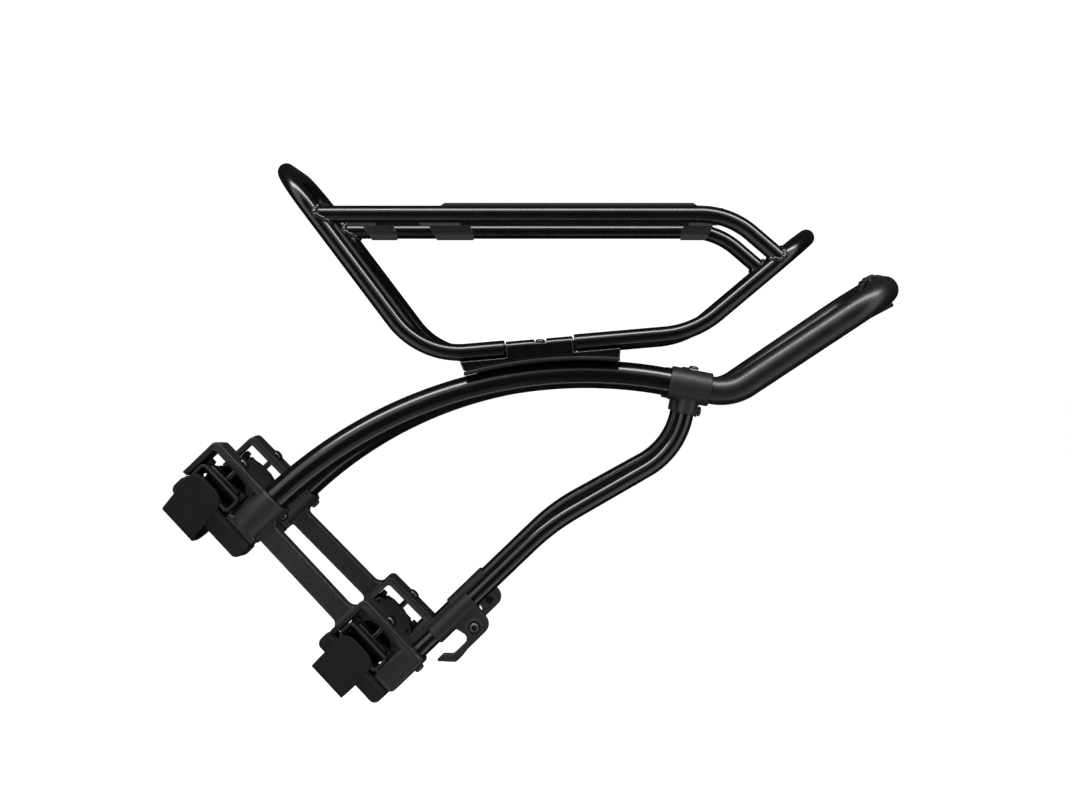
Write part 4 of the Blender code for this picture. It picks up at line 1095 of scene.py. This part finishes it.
def build_light_bracket():
    centre = handle_corner()[1]
    centre.y = 0
    spot = Matrix.Translation(centre) @ Matrix.Rotation(-LIGHT_PLATE_ANGLE, 4, "Y")
    reach = LIGHT_BAND_HALF_WIDTH
    ends = ((0, -reach, 0), (0, reach, 0))
    band = rod("light_bracket_skin", *ends, LIGHT_BAND_RADIUS, spot, 0.4 * MM, FINE_SIDES)
    added = [
        box("foot", (LIGHT_PLATE_X[0], -LIGHT_PLATE_HALF_WIDTH, LIGHT_PLATE_Z[0]),
            (LIGHT_PLATE_X[1], LIGHT_PLATE_HALF_WIDTH, LIGHT_PLATE_Z[1]), spot, 0.7 * MM),
        box("ears", (-16.5 * MM, -reach, -3.5 * MM), (-9 * MM, reach, 3.5 * MM), spot, 0.5 * MM),
    ]
    for rib in range(LIGHT_RIBS):
        x, z = polar(LIGHT_BAND_RADIUS, FIRST_RIB_ANGLE + RIB_PITCH * rib)
        added.append(rod("rib", (x, -reach, z), (x, reach, z), 0.8 * MM, spot, sides=16))
    removed = [
        rod("bore", (0, -2 * reach, 0), (0, 2 * reach, 0), LARGE_RADIUS + GAP, spot, sides=FINE_SIDES),
        box("slot", (-19 * MM, -2 * reach, -0.6 * MM), (-6 * MM, 2 * reach, 0.6 * MM), spot),
    ]
    body = moulded(band, added, removed, FINE_VOXEL, 2)
    place(body, PLASTIC, "matt_black_plastic", "light_mount", "light_bracket")
    head = spot @ Vector((-13.9 * MM, 0, 3.5 * MM + GAP))
    screw = screw_head("light_screw_skin", head, spot.to_3x3() @ Vector((0, 0, 1)), LIGHT_HEAD)
    place(screw, STEEL, "blackened_steel", "light_mount", "light_bracket_screw", sharp=35)


# ---------------------------------------------------------------- stage


def area_light(name, spot, target, size, power, glossy=True):
    data = bpy.data.lights.new(name, "AREA")
    data.shape = "RECTANGLE"
    data.size, data.size_y = size
    data.energy = power
    light = bpy.data.objects.new(name, data)
    bpy.context.scene.collection.objects.link(light)
    light.location = spot
    light.visible_glossy = glossy
    light.visible_camera = False
    light.rotation_euler = (Vector(target) - Vector(spot)).to_track_quat("-Z", "Y").to_euler()


def math_node(links, nodes, operation, first, second=None):
    node = nodes.new("ShaderNodeMath")
    node.operation = operation
    for socket, value in zip(node.inputs, (first, second)):
        if isinstance(value, float):
            socket.default_value = value
        elif value:
            links.new(value, socket)
    return node.outputs[0]


def build_stage():
    camera = bpy.data.objects.new("camera", bpy.data.cameras.new("camera"))
    bpy.context.scene.collection.objects.link(camera)
    camera.location = CAMERA_PLACE
    camera.rotation_euler = (math.pi / 2, 0, 0)
    camera.data.sensor_width = 36
    camera.data.lens = CAMERA_LENS
    camera.data.shift_x, camera.data.shift_y = CAMERA_SHIFT
    bpy.context.scene.camera = camera

    shape = bmesh.new()
    bmesh.ops.create_grid(shape, x_segments=1, y_segments=1, size=40)
    floor = new_object("floor", shape)
    floor.location.z = cad_bounds[0].z - FLOOR_DROP
    made, shader, where = finish("pale_floor", (0.9, 0.9, 0.9), 0.9, specular=0.1)
    tint(made, noise(made, where, 0.5), shader, (0.89, 0.89, 0.89), (0.91, 0.91, 0.91))
    floor.data.materials.append(made)
    floor.visible_glossy = False

    world = bpy.data.worlds.new("studio")
    bpy.context.scene.world = world
    world.use_nodes = True
    nodes, links = world.node_tree.nodes, world.node_tree.links
    seen = nodes["Background"]
    seen.inputs["Color"].default_value = (1, 1, 1, 1)
    seen.inputs["Strength"].default_value = WORLD_GLOW
    around = nodes.new("ShaderNodeBackground")
    around.inputs["Color"].default_value = (1, 1, 1, 1)
    way = nodes.new("ShaderNodeSeparateXYZ")
    links.new(nodes.new("ShaderNodeTexCoord").outputs["Generated"], way.inputs[0])
    sideways = math_node(links, nodes, "ABSOLUTE", way.outputs["X"])
    above = math_node(links, nodes, "MAXIMUM", way.outputs["Z"], 0.0)
    strength = math_node(links, nodes, "MULTIPLY", sideways, SIDE_GLOW)
    from_above = math_node(links, nodes, "MULTIPLY", above, TOP_GLOW)
    strength = math_node(links, nodes, "ADD", strength, from_above)
    for ends, levels in ((RING_INNER, (0, 1)), (RING_OUTER, (1, 0))):
        band = nodes.new("ShaderNodeMapRange")
        band.interpolation_type = "SMOOTHSTEP"
        band.inputs["From Min"].default_value, band.inputs["From Max"].default_value = ends
        band.inputs["To Min"].default_value, band.inputs["To Max"].default_value = levels
        links.new(way.outputs["Y"], band.inputs["Value"])
        strength = math_node(links, nodes, "MULTIPLY", strength, band.outputs["Result"])
    strength = math_node(links, nodes, "ADD", strength, DARK_GLOW)
    links.new(strength, around.inputs["Strength"])
    paths = nodes.new("ShaderNodeLightPath")
    mix = nodes.new("ShaderNodeMixShader")
    links.new(paths.outputs["Is Glossy Ray"], mix.inputs[0])
    links.new(seen.outputs[0], mix.inputs[1])
    links.new(around.outputs[0], mix.inputs[2])
    links.new(mix.outputs[0], nodes["World Output"].inputs["Surface"])

    area_light("overhead", *OVERHEAD)
    area_light("below", *BELOW)
    area_light("rear_right", *REAR_RIGHT, glossy=False)


# Gloss powder coat: a hard shine with a faint orange peel
GLOSS = surface(
    "gloss_black_paint", (0.0015, 0.0015, 0.0017), 0.18, (9 * MM, 0.16, 0.21),
    [(2.2 * MM, 0.004 * MM, 1)],
)
# The handle's smoother, duller coat
SATIN = surface(
    "satin_black_paint", (0.003, 0.003, 0.0033), 0.34, (6 * MM, 0.31, 0.38),
    [(0.5 * MM, 0.006 * MM, 3)],
)
# Moulded satin black with a fine spark-eroded grain
CASTING = surface(
    "satin_black_casting", (0.007, 0.007, 0.0074), 0.42, (3 * MM, 0.36, 0.5),
    [(0.35 * MM, 0.03 * MM, 3), (5 * MM, 0.05 * MM, 1)],
    (14 * MM, (0.0055, 0.0055, 0.006), (0.0085, 0.0085, 0.009)), specular=0.3,
)
# Matt black plastic, a little coarser than the castings
PLASTIC = surface(
    "matt_black_plastic", (0.0055, 0.0055, 0.006), 0.5, (2 * MM, 0.44, 0.58),
    [(0.3 * MM, 0.03 * MM, 3)],
    (9 * MM, (0.0045, 0.0045, 0.005), (0.007, 0.007, 0.0075)), specular=0.25,
)
# The deck clips: the castings' grain in a greyer black; the grey is painted sheen, standing in for the
# light the clips' faces catch
CLIP_PAINTED_SHEEN = surface(
    "satin_grey_clip", (0.022, 0.022, 0.023), 0.45, (2 * MM, 0.4, 0.5),
    [(0.35 * MM, 0.03 * MM, 3)],
)
# Dull rubber with a soft, even bloom
RUBBER = surface(
    "black_rubber", (0.005, 0.005, 0.0053), 0.68, (1.5 * MM, 0.6, 0.78),
    [(0.22 * MM, 0.02 * MM, 3)],
    (12 * MM, (0.004, 0.004, 0.0043), (0.0062, 0.0062, 0.0066)), specular=0.1,
)
# Black-oxide steel screws
STEEL = surface(
    "blackened_steel", (0.05, 0.05, 0.053), 0.28, (0.6 * MM, 0.22, 0.4),
    [(0.2 * MM, 0.006 * MM, 3)],
    (1.2 * MM, (0.035, 0.035, 0.038), (0.08, 0.08, 0.085)), metallic=1.0,
)
# Gloss paint over weld beads: brighter, with the beads' own unevenness
WELD = surface(
    "painted_weld", (0.002, 0.002, 0.0022), 0.2, (0.8 * MM, 0.16, 0.3),
    [(0.7 * MM, 0.03 * MM, 3)],
)

build_platform()
build_deck()
# The clips get the greyer material, whose grey is painted sheen on a black part
for clip in CLIPS:
    both(deck_clip(clip), CLIP_PAINTED_SHEEN, "satin_black_casting", "platform",
         f"left_{clip}_deck_clip", sharp=35)
build_joiner()
build_bracket()
for clamp, clamp_x, pad_ends, pad_bottom, fold_height in (
    ("upper", -CLAMP_X, UPPER_PAD_X, UPPER_PAD_BOTTOM, UPPER_STRAP_FOLD_Z),
    ("lower", CLAMP_X, LOWER_PAD_X, LOWER_PAD_BOTTOM, LOWER_STRAP_FOLD_Z),
):
    build_cradle(clamp, pad_ends, pad_bottom)
    build_carriage(clamp, clamp_x)
    build_strap(clamp, clamp_x, fold_height)
    build_tension_screw(clamp, clamp_x)
    build_socket_bolt(clamp, *SOCKET_BOLTS[clamp])
build_frame_tubes()
build_collar()
build_hook()
build_light_bracket()
build_stage()
bpy.context.scene.view_settings.view_transform = "Standard"
